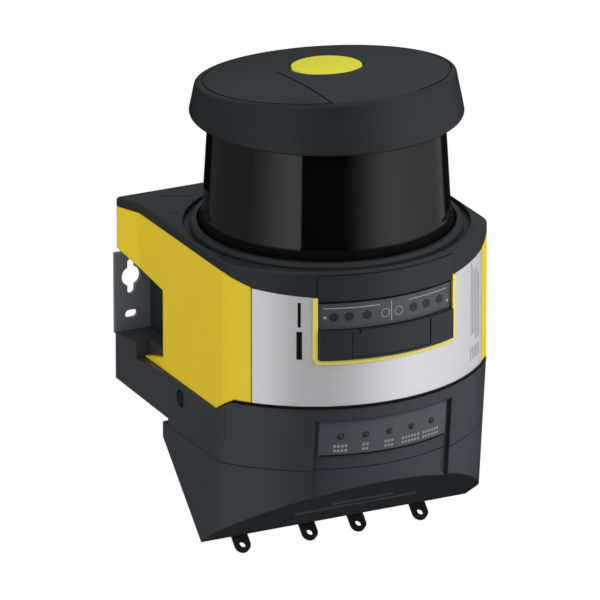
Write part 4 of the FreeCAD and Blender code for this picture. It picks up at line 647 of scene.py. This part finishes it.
FLOOR_HALF = 12.0
FLOOR_DROP = 0.35
floor_at = begin("white_floor")
seen = floor_at.node("LightPath", output="Is Camera Ray")
mirrored = floor_at.node("LightPath", output="Is Glossy Ray")
white = floor_at.node("Emission", None, {"Color": (1.0, 1.0, 1.0, 1.0), "Strength": 1.0})
matt = floor_at.node("BsdfDiffuse", None, {"Color": (0.6, 0.6, 0.6, 1.0)})
clear = floor_at.node("BsdfTransparent")
unseen = floor_at.node("MixShader", None, {0: mirrored, 1: matt, 2: clear})
floor_at.node("OutputMaterial", None, {
    "Surface": floor_at.node("MixShader", None, {0: seen, 1: unseen, 2: white})})
floor_mesh = bmesh.new()
bmesh.ops.create_grid(floor_mesh, x_segments=1, y_segments=1, size=FLOOR_HALF)
bmesh.ops.translate(floor_mesh, verts=floor_mesh.verts, vec=(0.0, 0.0, cad_low.z - FLOOR_DROP))
floor = add_piece("floor", floor_mesh, "white_floor")

# The room is white with a dark gap behind the camera, which the window mirrors as its black stripe.
VIEW_TURN = math.radians(-26.5)
VIEW_RISE = math.radians(20.5)
world = bpy.data.worlds.new("studio")
bpy.context.scene.world = world
world.use_nodes = True
world.node_tree.nodes.clear()
sky = Wire(world.node_tree).node("TexCoord", output="Generated")


def along(x, y, z):
    """How far a ray points along a direction."""
    return sky.node("VectorMath", {"operation": "DOT_PRODUCT"}, {0: sky, 1: (x, y, z)},
                    output="Value")


# A ray's bearing is counted in degrees, from the camera to the right, and upward is the sine of
# its rise.
to_camera = along(math.sin(VIEW_TURN), -math.cos(VIEW_TURN), 0.0)
to_right = along(math.cos(VIEW_TURN), math.sin(VIEW_TURN), 0.0)
bearing = sky.maths("ARCTAN2", to_right, to_camera) * math.degrees(1.0)
upward = along(0.0, 0.0, 1.0)

# Each wall fades towards the back, and a dark patch behind the part keeps the window's edges black.
left_wall = (between(bearing, -80.0, -28.0, 0.22, 1.0)
             * between(bearing, -25.0, -22.0, 1.0, 0.0)
             * between(bearing, -135.0, -80.0, 0.5, 1.0))
right_wall = between(bearing, 14.0, 62.0, 0.0, 1.0) * between(bearing, 55.0, 130.0, 0.87, 0.34)
behind_part = (between(sky.maths("ABSOLUTE", bearing), 136.0, 145.0)
               * between(upward, -0.02, 0.1, 1.0, 0.0))
wall_height = between(upward, -0.75, -0.35, 0.1, 1.0) * between(upward, -0.05, 0.2, 1.0, 0.35)
ceiling = between(upward, 0.12, 0.35, 0.0, 0.26)
mirrored_room = (left_wall + right_wall) * wall_height * (1.0 - 0.97 * behind_part) + ceiling
lit_room = between(upward, -0.3, 0.5, 0.12, 0.78)
camera_ray = sky.node("LightPath", output="Is Camera Ray")
glossy_ray = sky.node("LightPath", output="Is Glossy Ray")
unseen_room = glossy_ray * mirrored_room + (1.0 - glossy_ray) * lit_room
level = camera_ray + (1.0 - camera_ray) * unseen_room
sky.node("OutputWorld", None, {
    "Surface": sky.node("Background", None, {"Color": (1.0, 1.0, 1.0, 1.0), "Strength": level})})

PART_MIDDLE = Vector((0.0, -0.07, 0.03))


def direction(turn, rise):
    """From the part towards a lamp or the camera, by the angles at which it stands."""
    return Vector((math.sin(turn) * math.cos(rise), -math.cos(turn) * math.cos(rise),
                   math.sin(rise)))


def lamp(name, turn, rise, distance, size, power):
    """A soft lamp that looks at the part. It hides from gloss, which mirrors only the room."""
    data = bpy.data.lights.new(name, "AREA")
    data.shape = "DISK"
    data.size = size
    data.energy = power
    thing = bpy.data.objects.new(name, data)
    away = direction(math.radians(turn), math.radians(rise))
    thing.location = PART_MIDDLE + away * distance
    thing.rotation_euler = away.to_track_quat("Z", "Y").to_euler()
    thing.visible_glossy = False
    bpy.context.scene.collection.objects.link(thing)


lamp("key_lamp", turn=48.0, rise=32.0, distance=1.6, size=0.9, power=17.0)
lamp("fill_lamp", turn=-80.0, rise=25.0, distance=1.8, size=1.0, power=5.2)

CAMERA_DISTANCE = 5.0
camera_data = bpy.data.cameras.new("camera")
camera_data.lens = 645.0
camera_data.clip_start = 0.1
camera_data.clip_end = 60.0
camera = bpy.data.objects.new("camera", camera_data)
bpy.context.scene.collection.objects.link(camera)
backwards = direction(VIEW_TURN, VIEW_RISE)
target = Vector((-13.77, AXIS_DEPTH, 29.11 + SEAM_HEIGHT)) * MM
camera.location = target + backwards * CAMERA_DISTANCE
camera.rotation_mode = "QUATERNION"
camera.rotation_quaternion = (-backwards).to_track_quat("-Z", "Y")
bpy.context.scene.camera = camera
bpy.context.scene.view_settings.view_transform = "Standard"
